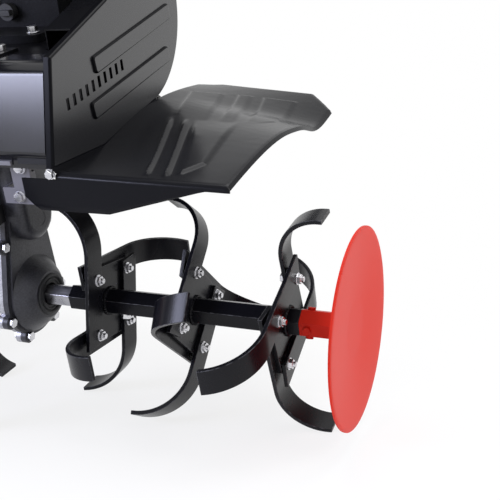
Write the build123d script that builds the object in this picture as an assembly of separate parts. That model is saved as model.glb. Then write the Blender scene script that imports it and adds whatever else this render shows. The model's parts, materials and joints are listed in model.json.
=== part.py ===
from build123d import *
import math
import os

# Garden tiller, in millimetres: +X forward, +Y left, +Z up.
# The model is laid out level about the middle of the tine shaft. At the end it is leaned back
# onto its tines and drag spur, as it stands, and set down on the ground.

# Fits and clearances
run_fit = 0.05
hex_fit = 0.1
free_gap = 0.4
seat_gap = 0.3

# Length of a cut that passes right through
cut_length = 600.0

# Stance: leaning back on the tines and the drag spur
stance_lean = 14.0

# Tine shaft, rotor tubes and plant-guard discs
shaft_af = 30.0
tube_af = 36.0
tube_start = 85.0
hex_turn = 33.8
stub_start = 455.0
disc_place = 537.0
shaft_end_gap = 30.0
disc_radius = 140.0
disc_sheet = 2.5
disc_dish = 12.0
disc_rim = 14.0
disc_boss = 42.0
disc_boss_rise = 5.0

# Rotors: four bars, bent over a slanting line, bolted to a plate
rotor_count = 3
rotor_first = 144.0
rotor_pitch = 144.0
rotor_turns = (13.0, 50.0, -16.0)
rotor_hands = (1, 1, -1)
plate_corner = 15.0
plate_thick = 6.0
plate_bolt = 42.0
blade_width = 38.0
blade_thick = 6.0
blade_offset = 50.0
blade_back = 58.0
blade_reach = 78.0
blade_bend_radius = 68.0
blade_bend_angle = 86.0
blade_skew = 12.0
blade_lean = 2.5
blade_tip = 4.0
bend_slices = 7
tine_bolt_af = 13.0
tine_bolt_head = 5.3
tine_nut_height = 6.5
tine_thread_radius = 4.0
tine_thread_end = 4.0

# Gearbox casting
case_wall = 6.0
drum_radius = 61.0
flange_radius = 67.0
flange_half = 9.0
drum_half = 14.0
drum_shoulder = (56.0, 20.0)
drum_waist = (47.0, 31.0)
seal_face = 40.0
seal_boss_radius = 37.0
seal_radius = 33.0
seal_width = 6.0
neck_x = 14.0
neck_z = 129.0
neck_radius = 40.0
neck_half = 40.0
neck_round = 16.0
case_top_radius = 50.0
plug_radius = 7.0
plug_drop = 6.0
plug_seat_margin = 4.0
shaft_clear = 2.0
case_bolt_turns = (-75, -30, 30, 75)
case_bolt_af = 13.0
case_bolt_head = 6.0
ear_radius = 11.0
ear_out = 3.0
neck_ears = ((-46.0, 98.0), (-38.0, 215.0), (65.0, 98.0), (72.0, 215.0))
bearing_outer = 27.0
bearing_width = 14.0

# Chain drive in the gearbox
input_x = 20.0
input_z = 294.0
input_shaft_radius = 11.0
sprocket_thick = 7.0
tine_teeth = 13
input_teeth = 8
chain_pitch = 12.7
roller_radius = 4.25
chain_plate_height = 11.0
chain_plate_thick = 1.8

# Engine frame of pressed steel
frame_sheet = 3.0
frame_left = 130.0
frame_right = 100.0
frame_top = 376.0
frame_front = 300.0
frame_front_drop = 80.0
wall_foot_x = -97.0
wall_foot_z = 247.0
wall_head_x = -58.0
wall_head_z = 384.0
top_strip = 80.0

# Belt case and its cover
cover_face = 163.0
cover_depth = 11.0
cover_sheet = 2.0
cover_edge_round = 4.0
case_back = 104.0
case_inset = 4.0
cover_rise_x = 108.0
cover_rise_z = 432.5
crank_x = 225.0
crank_z = 455.0
cover_front_radius = 90.0
cover_front_drop = 60.0
cover_heel_x = 205.0
cover_heel_z = 258.0
cover_belly_x = 32.0
cover_belly_z = 236.0
cover_blend = 40.0
rib_height = 25.0
rib_rise = 4.0
rib_corner = 5.0
upper_rib = ((36.0, 350.0), (276.0, 381.0))
lower_rib = ((15.0, 291.0), (257.0, 317.5))
slot_count = 10
slot_row = ((-38.0, 317.0), (112.0, 333.0))
slot_width = 7.0
slot_height = 16.0

# Belt drive
belt_middle = 134.0
belt_width = 13.0
belt_thick = 8.0
groove_wall = 3.0
crank_pulley_radius = 28.0
input_pulley_radius = 38.0
crank_radius = 10.0
idler_radius = 22.0
idler_arm_x = 60.0
idler_arm_z = 285.0
idler_arm_width = 24.0
idler_arm_thick = 6.0
idler_pin_radius = 6.0

# Mudguards
guard_sheet = 2.0
guard_right_inner = 163.3
guard_left_inner = 130.3
guard_outer = 410.0
guard_front = 390.0
guard_inner_line = (
    (-97.0, 243.0), (32.0, 238.0), (121.0, 252.0), (158.0, 256.0), (210.0, 257.0), (300.0, 249.0),
)
guard_inner_end = 235.0
guard_outer_line = (
    (-97.0, 235.0), (45.0, 243.0), (109.0, 239.0), (155.0, 231.0), (195.0, 221.0), (240.0, 205.0),
    (290.0, 202.0),
)
guard_corner_cut = 9.0
guard_outer_end = 213.0
guard_corner = ((390.0, 362.0), (332.0, 410.0))
guard_pads = (
    ((283.0, 182.0), (313.0, 232.0), (158.0, 275.0), (128.0, 225.0)),
    ((323.0, 250.0), (330.0, 276.0), (175.0, 313.0), (166.0, 288.0)),
    ((333.0, 291.0), (339.0, 350.0), (228.0, 365.0), (172.0, 331.0)),
    ((102.0, 229.0), (82.0, 264.0), (-76.0, 313.0), (-72.0, 284.0)),
    ((70.0, 284.0), (112.0, 342.0), (-12.0, 352.0), (-33.0, 355.0), (-74.0, 332.0)),
)
pad_rise = 1.4
pad_corner = 6.0
skirt_drop = 56.0
skirt_inner = 110.0
skirt_flat_end = 235.0
skirt_corner = 20.0

# Brackets between frame and gearbox
bracket_inner = 60.0
bracket_width = 32.0
bracket_thick = 5.0
bracket_x = -56.0
bracket_low = 176.0
tab_height = 24.0
tab_length = 72.0

# Engine
engine_y = -4.0
bolt_span_x = 162.0
bolt_span_y = 75.5
bolt_rear_x = 82.0
engine_foot = 12.0
foot_margin = 18.0
bolt_hole = 4.6
crankcase_rear = 96.0
crankcase_rise = 92.0
crank_boss_radius = 30.0
crank_boss_length = 12.0
case_rib_count = 7
crankcase_width = 112.0
crankcase_wall = 8.0
crankcase_round = 30.0
engine_nut_af = 13.0
engine_nut_height = 8.0
washer_radius = 9.5
washer_thick = 2.0
nut_relief = 34.0
fin_count = 7
fin_pitch = 11.0
fin_thick = 3.0
cylinder_radius = 40.0
fin_size = 118.0
fin_width = 106.0
cylinder_lift = 25.0
fin_start = 6.0
head_length = 34.0
plug_stem = 34.0
fan_radius = 112.0
fan_depth = 62.0
fan_cap_radius = 46.0
fan_cap_rise = 10.0
fan_wall = 3.0
fan_lift = 2.0
fan_round = 22.0
tank_length = 250.0
tank_width = 150.0
tank_height = 92.0
tank_lift = 26.0
tank_ahead = -40.0
tank_wall = 1.5
tank_corner = 34.0
tank_crown = 24.0
tank_seam = 6.0
tank_seam_rise = 8.0
tank_neck = 26.0
tank_neck_height = 6.0
tank_leg = 20.0
tank_leg_spread = 30.0
muffler_gap = 14.0
muffler_length = 96.0
muffler_height = 96.0
muffler_lift = 24.0
muffler_width = 72.0
muffler_side = 6.0
muffler_wall = 2.0
muffler_round = 16.0
muffler_pipe_in = 20.0
louvre_count = 5
louvre_start = 22.0
louvre_pitch = 12.0
louvre_height = 5.0
louvre_margin = 12.0
pipe_radius = 12.0
cap_radius = 32.0
cap_height = 22.0
filter_side = 2.0
filter_width = 88.0
filter_corner = 18.0
filter_crown = 14.0
filter_wall = 2.5

# Handle column, handlebar and levers
column_x = -34.0
column_width = 64.0
column_height = 92.0
column_sheet = 5.0
pivot_drop = 26.0
pivot_radius = 8.0
neck_back = 84.0
neck_spread = 60.0
handle_tube = 14.0
handle_wall = 3.0
handle_spread = 235.0
handle_bend = 70.0
handle_bend_x = -330.0
handle_bend_rise = 130.0
handle_end_x = -820.0
handle_end_rise = 420.0
grip_length = 125.0
grip_wall = 4.0
lever_length = 150.0
lever_drop = 20.0
lever_pin = 3.0
clamp_ahead = 30.0
lever_width = 16.0

# Transport wheel and drag spur
wheel_radius = 100.0
wheel_width = 44.0
wheel_x = 400.0
wheel_rest = 115.0
wheel_hub_radius = 18.0
wheel_hub_out = 4.0
wheel_web = 16.0
tyre_shoulder = 10.0
tyre_wall = 14.0
rim_lip = 6.0
axle_radius = 8.0
axle_end = 12.0
axle_nut_af = 19.0
axle_nut_height = 8.0
rim_radius = 62.0
fork_thick = 6.0
fork_width = 34.0
fork_side_gap = 5.0
crown_gap = 10.0
leg_size = 24.0
leg_wall = 3.0
leg_rise = 105.0
leg_fit = 0.4
sleeve_low = 250.0
sleeve_height = 80.0
sleeve_wall = 5.0
bracket_plate = 5.0
bracket_plate_drop = 12.0
bracket_plate_side = 18.0
spur_x = -214.0
spur_width = 34.0
spur_thick = 12.0
spur_top = 190.0
spur_hole_count = 6
spur_hole_pitch = 34.0
spur_point = 12.0
spur_taper = 40.0
spur_hole_play = 1.0
spur_fit = 0.4
holder_wall = 5.0
holder_height = 80.0
holder_low = 40.0
holder_seat = -33.3
holder_arm_z = 150.0
holder_arm = 28.0
holder_gusset = 70.0
screw_radius = 5.0
screw_length = 40.0
screw_bar = 25.0
screw_bar_radius = 3.5

# Details of the discs' pins, the covers, the frame and the idler
pin_place = 12.0
pin_turns = (-60.0, 60.0, 120.0, -120.0)
pin_radius = 5.5
pin_height = 4.0
crown_heading = (0.35, 0.94)
rib_ease = 0.7
shaft_hole_gap = 6.0
cut_margin = 10.0
case_notch = 60.0
frame_round = 10.0
frame_hollow_drop = 4.0
idler_belt_gap = 1.5
idler_share = 0.52
idler_head_wall = 4.0
idler_head = 5.0
pulley_end_out = 4.0
skirt_tail = 3.0
slope_share = 1.1

# Engine details
foot_round = 10.0
case_rib_root = 4.0
case_rib_reach = 30.0
case_rib_rise = 8.0
case_rib_half = 3.0
nut_side_gap = 2.0
fin_corner = 12.0
fin_phase = 0.6
head_share = 0.8
head_corner = 14.0
plug_hex_radius = 12.0
plug_hex_height = 10.0
plug_cap_radius = 9.0
fan_slot_step = 30
fan_slot_out = 18.0
fan_slot_length = 26.0
fan_slot_width = 7.0
fan_slot_depth = 6.0
recoil_rise = 40.0
recoil_gap = 6.0
recoil_bar_radius = 7.0
recoil_bar_length = 62.0
recoil_stem_radius = 4.0
recoil_stem_length = 11.3
cap_groove_step = 30
cap_groove_out = 1.5
cap_groove_radius = 4.0
pipe_ahead = 18.0
pipe_length = 60.0
carburettor_side = 24.0
carburettor_wall = 4.0
dipstick_in = 26.0
dipstick_rise = 24.0
dipstick_radius = 13.0
dipstick_head = 12.0
dipstick_tab = (8.0, 22.0)
dipstick_tab_height = 8.0
crank_end_out = 4.0
crank_tail = 15.0

# Handle details
column_base_back = 28.0
column_base_front = 50.0
column_base_side = 28.0
column_half_length = 26.0
column_round = 22.0
column_nut_side = 44.0
column_nut_front = 33.0
column_nut_back = 14.0
pivot_end = 10.0
handle_neck_front = 14.0
handle_neck_half = 15.0
handle_neck_round = 13.0
handle_neck_bite = 0.5
grip_cap = 3.0
clamp_half = 11.0
clamp_wall = 6.0
lever_ear_low = 5.0
lever_ear_width = 14.0
lever_ear_short = 6.0
lever_ear_sheet = 3.0
lever_bore = 20.0
lever_heel = 6.0
lever_hub_half = 5.0
lever_knee = (12.0, 30.0)
lever_bend = (14.0, 33.0)
lever_low = 13.0
lever_bar = 6.0
throttle_ahead = 60.0
throttle_length = 20.0
throttle_wall = 5.0
throttle_hub = 11.0
throttle_hub_height = 6.0
throttle_arm = 44.0
throttle_arm_width = 8.0
throttle_arm_corner = 3.0
throttle_arm_thick = 4.0

half_back = math.sqrt(3.0)
parts = {}


def box(x0, x1, y0, y1, z0, z1):
    centre = ((x0 + x1) / 2, (y0 + y1) / 2, (z0 + z1) / 2)
    return Pos(*centre) * Box(x1 - x0, y1 - y0, z1 - z0)


def prism_y(face, y0, y1):
    return extrude(Plane.XZ.offset(-y1) * face, amount=y1 - y0)


def cyl_y(radius, y0, y1, x=0.0, z=0.0):
    return prism_y(Pos(x, z) * Circle(radius), y0, y1)


def ring_y(outer, inner, y0, y1, x=0.0, z=0.0):
    return prism_y(Pos(x, z) * (Circle(outer) - Circle(inner)), y0, y1)


def hexagon(af):
    return RegularPolygon(radius=af / half_back, side_count=6)


def hex_y(af, y0, y1, x=0.0, z=0.0):
    return prism_y(Pos(x, z) * hexagon(af), y0, y1)


def shaft_hex_y(af, y0, y1):
    # hexagon about the tine shaft, with a corner turned to the rear
    return prism_y(Rot(0, 0, hex_turn) * hexagon(af), y0, y1)


def hex_z(af, x, y, z0, height):
    return Pos(x, y, z0) * extrude(hexagon(af), amount=height)


def flip(shape):
    return mirror(shape, about=Plane.XZ)


def group(solids):
    return Compound([solid for shape in solids for solid in shape.solids()])


def hull_face(*circles):
    rounds = [Pos(x, z) * Circle(radius) for x, z, radius in circles]
    return make_hull([edge for face in rounds for edge in face.edges()])


def spun_y(points, x=0.0, z=0.0):
    face = make_face(Polyline(*points, close=True))
    return Pos(x, 0, z) * revolve(face, axis=Axis.Y)


# Tine rotors

def rotor_places():
    return [rotor_first + rotor_pitch * number for number in range(rotor_count)]


def blade_section(run):
    # slice of the bent bar, parallel to its slanting bend line, at a length along the bar
    skew = math.radians(blade_skew)
    middle = blade_bend_radius + blade_thick / 2
    whole = math.radians(blade_bend_angle)
    bend = min(max(run - blade_reach, 0.0) / middle, whole)
    tip = max(run - blade_reach - middle * whole, 0.0)
    ahead = min(run, blade_reach) + middle * math.sin(bend) + tip * math.cos(bend)
    over = middle * (1 - math.cos(bend)) + tip * math.sin(bend) + blade_thick / 2
    out = Vector(-math.sin(skew), 0, math.cos(skew))
    across = Vector(math.cos(skew), 0, math.sin(skew))
    away = Vector(0, 1, 0)
    place = out * ahead + across * (run * math.tan(skew)) + away * (over - plate_thick / 2 - blade_thick)
    tangent = out * math.cos(bend) + away * math.sin(bend)
    plane = Plane(origin=place - Vector(blade_offset, 0, 0), x_dir=across, z_dir=tangent)
    return plane * Rectangle(blade_width / math.cos(skew), blade_thick)


def bent_blade():
    # bar on the plate's outer face, bent back over the plate
    arc = (blade_bend_radius + blade_thick / 2) * math.radians(blade_bend_angle)
    bend_end = blade_reach + arc
    root = loft([blade_section(-blade_back), blade_section(blade_reach)], ruled=True)
    bend = loft([blade_section(blade_reach + arc * step / (bend_slices - 1)) for step in range(bend_slices)])
    tip = loft([blade_section(bend_end), blade_section(bend_end + blade_tip)], ruled=True)
    return root + bend + tip


def blade(side, turn):
    # side -1 lies on the plate's outer face and bends inward, +1 on its inner face and bends outward
    bar = bent_blade() if side < 0 else flip(bent_blade())
    return Rot(0, turn - side * blade_lean, 0) * bar


def rotor_place(number):
    return Pos(0, -rotor_places()[number], 0) * Rot(0, rotor_turns[number], 0)


def rotor_blades(number):
    hand = rotor_hands[number]
    quarter = 90.0
    blades = [blade(-hand if step % 2 == 0 else hand, quarter * step) for step in range(4)]
    if hand < 0:
        blades = [mirror(solid, about=Plane.YZ) for solid in blades]
    return [rotor_place(number) * solid for solid in blades]


def rotor_bolts(number):
    face = plate_thick / 2 + blade_thick
    solids = []
    for x in (-plate_bolt, plate_bolt):
        for z in (-plate_bolt, plate_bolt):
            nut = hex_y(tine_bolt_af, -face - tine_nut_height, -face, x, z)
            nut += cyl_y(tine_thread_radius, -face - tine_nut_height - tine_thread_end, -face, x, z)
            solids.append(nut)
            solids.append(hex_y(tine_bolt_af, face, face + tine_bolt_head, x, z))
    return [rotor_place(number) * solid for solid in solids]


def rotor_tube():
    bore = shaft_af + 2 * hex_fit
    tube = shaft_hex_y(tube_af, -stub_start, -tube_start)
    side = 2 * (plate_bolt + plate_corner)
    outline = RectangleRounded(side, side, plate_corner)
    for number in range(rotor_count):
        tube += rotor_place(number) * prism_y(outline, -plate_thick / 2, plate_thick / 2)
    return tube - shaft_hex_y(bore, -stub_start - 1, -tube_start + 1)


def guard_disc():
    bore = shaft_af + 2 * hex_fit
    middle = -disc_place + disc_dish
    stub = shaft_hex_y(tube_af, middle, -stub_start - free_gap)
    stub -= shaft_hex_y(bore, middle - 1, -stub_start)
    flat = disc_radius - disc_rim
    ring = disc_boss - disc_boss_rise
    hollow = disc_boss / 2
    outer = [
        (0, middle), (hollow, middle), (ring, middle - disc_boss_rise), (disc_boss, middle - disc_boss_rise),
        (disc_boss + disc_boss_rise, middle), (flat, -disc_place), (disc_radius, -disc_place),
    ]
    inner = [(r, y + disc_sheet) for r, y in reversed(outer)]
    return stub + spun_y(outer + inner)


def stub_pins():
    reach = tube_af / 2
    y = -stub_start - pin_place
    solids = []
    for turn in pin_turns:
        head = Pos(0, y, reach) * extrude(Circle(pin_radius), amount=pin_height)
        solids.append(Rot(0, turn - hex_turn, 0) * head)
    return solids


shaft_end = disc_place - shaft_end_gap
parts["tine_shaft"] = shaft_hex_y(shaft_af, -shaft_end, shaft_end)
parts["rotor_tube_right"] = rotor_tube()
parts["rotor_tube_left"] = flip(rotor_tube())
blades = [solid for number in range(rotor_count) for solid in rotor_blades(number)]
blade_bolts = [solid for number in range(rotor_count) for solid in rotor_bolts(number)]
parts["tine_blades_right"] = group(blades)
parts["tine_blades_left"] = group(flip(solid) for solid in blades)
parts["blade_bolts"] = group(blade_bolts + [flip(solid) for solid in blade_bolts])
parts["plant_disc_right"] = guard_disc()
parts["plant_disc_left"] = flip(guard_disc())
parts["disc_pins"] = group(stub_pins() + [flip(solid) for solid in stub_pins()])
stance = Rot(0, -stance_lean, 0)
ground = min((stance * shape).bounding_box().min.Z for name, shape in parts.items() if "blades" in name)


def ground_at(x):
    # height of the ground under a place along the machine, before it is leaned back
    lean = math.radians(stance_lean)
    return (ground - x * math.sin(lean)) / math.cos(lean)


# Chain drive

def pitch_radius(teeth):
    return chain_pitch / (2 * math.sin(math.pi / teeth))


def sprocket(teeth, phase):
    radius = pitch_radius(teeth)
    face = Circle(radius + roller_radius * 0.5)
    seat = Circle(roller_radius + run_fit)
    for tooth in range(teeth):
        angle = math.radians(phase + 360.0 * tooth / teeth)
        face -= Pos(radius * math.cos(angle), radius * math.sin(angle)) * seat
    return face


def chain_line():
    # straight upper-run frame: distance between shafts and the wrap angles on the two sprockets
    big = pitch_radius(tine_teeth)
    small = pitch_radius(input_teeth)
    span = math.hypot(input_x, input_z)
    lean = math.degrees(math.atan2(input_z, input_x))
    opening = math.degrees(math.asin((big - small) / span))
    return big, small, span, lean, opening


def chain_band(grow):
    big, small, _, _, _ = chain_line()
    return hull_face((0, 0, big + grow), (input_x, input_z, small + grow))


def drive_chain():
    half = chain_plate_height / 2
    band = chain_band(half) - chain_band(-half)
    inside = sprocket_thick / 2 + free_gap
    outside = inside + chain_plate_thick
    right = prism_y(band, -outside, -inside)
    return group([right, flip(right)])


parts["tine_sprocket"] = prism_y(
    sprocket(tine_teeth, 0.0), -sprocket_thick / 2, sprocket_thick / 2
) - shaft_hex_y(shaft_af + 2 * hex_fit, -sprocket_thick, sprocket_thick)
parts["drive_chain"] = drive_chain()


# Gearbox halves, split on the machine's middle plane

def case_outline(grow):
    low = hull_face((0, 0, drum_radius + grow), (neck_x, neck_z, neck_radius + grow))
    high = hull_face((neck_x, neck_z, neck_radius + grow), (input_x, input_z, case_top_radius + grow))
    return low + high


def gearbox_half():
    shell = prism_y(case_outline(0), -drum_half, 0)
    rim = case_outline(flange_radius - drum_radius)
    for x, z in case_bolt_spots():
        rim += Pos(x, z) * Circle(ear_radius)
    flange = prism_y(rim, -flange_half, 0)
    drum = spun_y([
        (0, 0), (drum_radius, 0), (drum_radius, -drum_half), (drum_shoulder[0], -drum_shoulder[1]),
        (drum_waist[0], -drum_waist[1]), (seal_boss_radius, -seal_face), (0, -seal_face),
    ])
    neck_side = hull_face((neck_x, neck_z, neck_radius), (input_x, input_z, case_top_radius))
    neck = prism_y(neck_side, -neck_half, 0)
    neck = fillet(neck.faces().sort_by(Axis.Y)[0].edges(), neck_round)
    body = shell + flange + drum + neck
    plug_seat = Pos(neck_x, -neck_half, neck_z - plug_drop) * Rot(90, 0, 0) * Cylinder(
        plug_radius + plug_seat_margin, 2 * free_gap)
    body -= plug_seat
    inner_depth = drum_half - case_wall
    body -= prism_y(case_outline(-case_wall), -inner_depth, 1)
    body -= cyl_y(bearing_outer, -inner_depth - bearing_width, 1)
    body -= cyl_y(seal_radius, -seal_face - 1, -seal_face + seal_width)
    body -= cyl_y(shaft_af / half_back + shaft_clear, -seal_face - 1, 1)
    body -= cyl_y(bearing_outer, -inner_depth - bearing_width, 1, input_x, input_z)
    body -= cyl_y(input_shaft_radius + shaft_clear, -neck_half - 1, 1, input_x, input_z)
    return body


def case_bolt_spots():
    reach = flange_radius + ear_out
    turns = [math.radians(turn) for turn in case_bolt_turns]
    spots = [(reach * math.sin(turn), -reach * math.cos(turn)) for turn in turns]
    return spots + list(neck_ears)


def case_bolts():
    solids = []
    for x, z in case_bolt_spots():
        solids.append(hex_y(case_bolt_af, -flange_half - case_bolt_head, -flange_half, x, z))
        solids.append(hex_y(case_bolt_af, flange_half, flange_half + case_bolt_head, x, z))
    return solids


def seal(face_y):
    return ring_y(seal_radius, shaft_af / half_back + seat_gap, face_y, face_y + seal_width)


def bearing(inner, x, z):
    low = drum_half - case_wall
    return ring_y(bearing_outer - run_fit, inner, -low - bearing_width, -low, x, z)


tine_bearing = bearing(shaft_af / half_back + run_fit, 0, 0)
input_bearing = bearing(input_shaft_radius + run_fit, input_x, input_z)
parts["gearbox_right"] = gearbox_half()
parts["gearbox_left"] = flip(gearbox_half())
parts["gearbox_bolts"] = group(case_bolts())
parts["shaft_seals"] = group([seal(-seal_face), flip(seal(-seal_face))])
parts["case_bearings"] = group([tine_bearing, flip(tine_bearing), input_bearing, flip(input_bearing)])


# Belt case outline, shared by the cover, the case and the frame's rear wall

def front_tangent():
    centre = Vector(crank_x, crank_z)
    start = Vector(cover_rise_x, cover_rise_z)
    gap = centre - start
    tilt = math.atan2(gap.Y, gap.X) + math.asin(cover_front_radius / gap.length)
    reach = math.sqrt(gap.length ** 2 - cover_front_radius ** 2)
    return start + Vector(math.cos(tilt), math.sin(tilt)) * reach


def cover_outline():
    foot = (wall_foot_x, wall_foot_z)
    head = (wall_head_x, wall_head_z)
    rise = (cover_rise_x, cover_rise_z)
    touch = front_tangent()
    crown = Vector(crank_x, crank_z) + Vector(*crown_heading) * cover_front_radius
    front = (crank_x + cover_front_radius, crank_z)
    low_front = (crank_x + cover_front_radius, crank_z - cover_front_drop)
    heel = (cover_heel_x, cover_heel_z)
    belly = (cover_belly_x, cover_belly_z)
    edges = [
        Line(foot, head), Line(head, rise), Line(rise, touch), ThreePointArc(touch, crown, front),
        Line(front, low_front), TangentArc(low_front, heel, tangent=(0, -1)),
        Line(heel, belly), Line(belly, foot),
    ]
    face = make_face(Wire.combine(edges)[0].edges())
    sharp = [face.vertices().sort_by_distance((x, z, 0))[0] for x, z in (rise, belly)]
    return fillet(sharp, cover_blend)


def long_rib(ends):
    (x0, z0), (x1, z1) = ends
    tilt = math.degrees(math.atan2(z1 - z0, x1 - x0))
    length = math.hypot(x1 - x0, z1 - z0)
    pad = RectangleRounded(length, rib_height, rib_corner)
    return Pos((x0 + x1) / 2, (z0 + z1) / 2) * Rot(0, 0, tilt) * pad


def belt_cover():
    outline = cover_outline()
    pan = prism_y(outline, -cover_face, -cover_face + cover_depth)
    pan = fillet(pan.faces().sort_by(Axis.Y)[0].edges(), cover_edge_round)
    pan -= prism_y(offset(outline, -cover_sheet), -cover_face + cover_sheet, -cover_face + cover_depth + 1)
    for ends in (upper_rib, lower_rib):
        pad = prism_y(long_rib(ends), -cover_face - rib_rise, -cover_face)
        pan += fillet(pad.faces().sort_by(Axis.Y)[0].edges(), rib_rise * rib_ease)
    (x0, z0), (x1, z1) = slot_row
    for number in range(slot_count):
        share = number / (slot_count - 1)
        spot = Pos(x0 + (x1 - x0) * share, z0 + (z1 - z0) * share)
        pan -= prism_y(spot * Rectangle(slot_width, slot_height), -cover_face - 1, -cover_face + cover_depth)
    return pan


def belt_case():
    outline = offset(cover_outline(), -case_inset)
    rim = -cover_face + cover_depth + free_gap
    pan = prism_y(outline, rim, -case_back)
    pan -= prism_y(offset(outline, -cover_sheet), rim - 1, -case_back - cover_sheet)
    for x, z, radius in ((crank_x, crank_z, crank_radius), (input_x, input_z, input_shaft_radius)):
        pan -= cyl_y(radius + shaft_hole_gap, -case_back - 2 * cover_sheet, -case_back + 1, x, z)
    strip_x = wall_head_x + top_strip
    pan -= box(wall_foot_x - cut_margin, strip_x + free_gap, rim - 1, -case_back + 1,
               frame_top - frame_sheet, frame_top + case_notch)
    return pan


parts["belt_cover"] = belt_cover()
parts["belt_case"] = belt_case()


# Engine frame

def wall_x(z):
    share = (z - wall_foot_z) / (wall_head_z - wall_foot_z)
    return wall_foot_x + (wall_head_x - wall_foot_x) * share


def frame_profile(inset):
    lean = math.cos(math.atan2(wall_head_x - wall_foot_x, wall_head_z - wall_foot_z))
    rear = inset / lean
    top = frame_top - inset
    front = frame_front - inset
    points = [
        (wall_foot_x + rear, wall_foot_z), (wall_x(top) + rear, top), (front, top),
        (front, frame_top - frame_front_drop), (cover_heel_x, wall_foot_z),
    ]
    return make_face(Polyline(*points, close=True))


def engine_frame():
    tray = prism_y(frame_profile(0), -frame_right, frame_left)
    tray = fillet(tray.edges().filter_by(Axis.Y).group_by(Axis.Z)[-1], frame_round)
    hollow = prism_y(frame_profile(frame_sheet), -frame_right + frame_sheet, frame_left - frame_sheet)
    hollow += Pos(0, 0, -frame_hollow_drop) * hollow
    tray -= hollow
    reach = -cover_face + cover_depth + free_gap
    lip = prism_y(frame_profile(0) - frame_profile(frame_sheet), reach, -frame_right)
    strip_x = wall_head_x + top_strip
    lip &= box(wall_foot_x - cut_margin, strip_x, reach - cut_margin, 0,
               wall_foot_z - cut_margin, frame_top + cut_margin)
    tray += lip
    tray -= cyl_y(input_shaft_radius + shaft_hole_gap, -frame_right - cut_margin, -frame_right + cut_margin,
                  input_x, input_z)
    return tray


parts["engine_frame"] = engine_frame()


# Belt drive

def pulley(radius, bore, x, z):
    half = belt_width / 2 + free_gap
    outer = radius + belt_thick + 1.0
    low = -belt_middle - half - groove_wall
    high = -belt_middle + half + groove_wall
    return spun_y([
        (bore, low), (outer, low), (outer, low + groove_wall), (radius, low + groove_wall),
        (radius, high - groove_wall), (outer, high - groove_wall), (outer, high), (bore, high),
    ], x, z)


def drive_belt():
    inside = hull_face((crank_x, crank_z, crank_pulley_radius + free_gap),
                       (input_x, input_z, input_pulley_radius + free_gap))
    outside = hull_face((crank_x, crank_z, crank_pulley_radius + belt_thick),
                        (input_x, input_z, input_pulley_radius + belt_thick))
    return prism_y(outside - inside, -belt_middle - belt_width / 2, -belt_middle + belt_width / 2)


def belt_run(distance, share):
    # point beside the lower run of the belt, the given distance outside its back
    gap = Vector(crank_x - input_x, crank_z - input_z)
    lean = math.atan2(gap.Y, gap.X)
    lean += math.asin((crank_pulley_radius - input_pulley_radius) / gap.length) * -1
    low = Vector(math.sin(lean), -math.cos(lean))
    first = Vector(input_x, input_z) + low * (input_pulley_radius + belt_thick + distance)
    last = Vector(crank_x, crank_z) + low * (crank_pulley_radius + belt_thick + distance)
    return first + (last - first) * share


idler_spot = belt_run(idler_radius + idler_belt_gap, idler_share)
arm_y = -case_back - cover_sheet - free_gap - idler_arm_thick


def idler_arm():
    half = idler_arm_width / 2
    bar = hull_face((idler_arm_x, idler_arm_z, half), (idler_spot.X, idler_spot.Y, half))
    arm = prism_y(bar, arm_y, arm_y + idler_arm_thick)
    arm -= cyl_y(idler_pin_radius + run_fit, arm_y - 1, arm_y + idler_arm_thick + 1, idler_arm_x, idler_arm_z)
    stub_end = -belt_middle - belt_width / 2 - 2
    return arm + cyl_y(idler_pin_radius, stub_end, arm_y, idler_spot.X, idler_spot.Y)


def idler_pivot():
    stem = cyl_y(idler_pin_radius, arm_y - 2, -case_back - cover_sheet, idler_arm_x, idler_arm_z)
    head = cyl_y(idler_pin_radius + idler_head_wall, arm_y - idler_head, arm_y - free_gap,
                 idler_arm_x, idler_arm_z)
    return stem + head


parts["belt_case"] += idler_pivot()
parts["input_pulley"] = pulley(input_pulley_radius, input_shaft_radius, input_x, input_z)
parts["engine_pulley"] = pulley(crank_pulley_radius, crank_radius, crank_x, crank_z)
parts["drive_belt"] = drive_belt()
parts["idler_arm"] = idler_arm()
parts["idler_roller"] = ring_y(idler_radius, idler_pin_radius + run_fit, -belt_middle - belt_width / 2,
                               -belt_middle + belt_width / 2, idler_spot.X, idler_spot.Y)
pulley_out = -belt_middle - belt_width / 2 - groove_wall - pulley_end_out
input_shaft = cyl_y(input_shaft_radius, pulley_out, drum_half, input_x, input_z)
small_wheel = Pos(input_x, input_z) * sprocket(input_teeth, 0.0)
input_shaft += prism_y(small_wheel, -sprocket_thick / 2, sprocket_thick / 2)
parts["input_shaft"] = input_shaft


# Mudguards: one pressed sheet lofted between an inner and an outer section

def guard_section(y, line, end, rise):
    upper = [(x, z + rise) for x, z in list(line) + [(guard_front, end)]]
    lower = [(x, z - guard_sheet) for x, z in reversed(upper)]
    top = Spline(*[Vector(x, y, z) for x, z in upper])
    under = Spline(*[Vector(x, y, z) for x, z in lower])
    ends = [Line(top @ 1, under @ 0), Line(under @ 1, top @ 0)]
    return make_face(Wire.combine([top, ends[0], under, ends[1]])[0].edges())


def guard_sheet_at(inner, rise):
    sections = [
        guard_section(-inner, guard_inner_line, guard_inner_end, rise),
        guard_section(-guard_outer, guard_outer_line, guard_outer_end, rise),
    ]
    return loft(sections)


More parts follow.
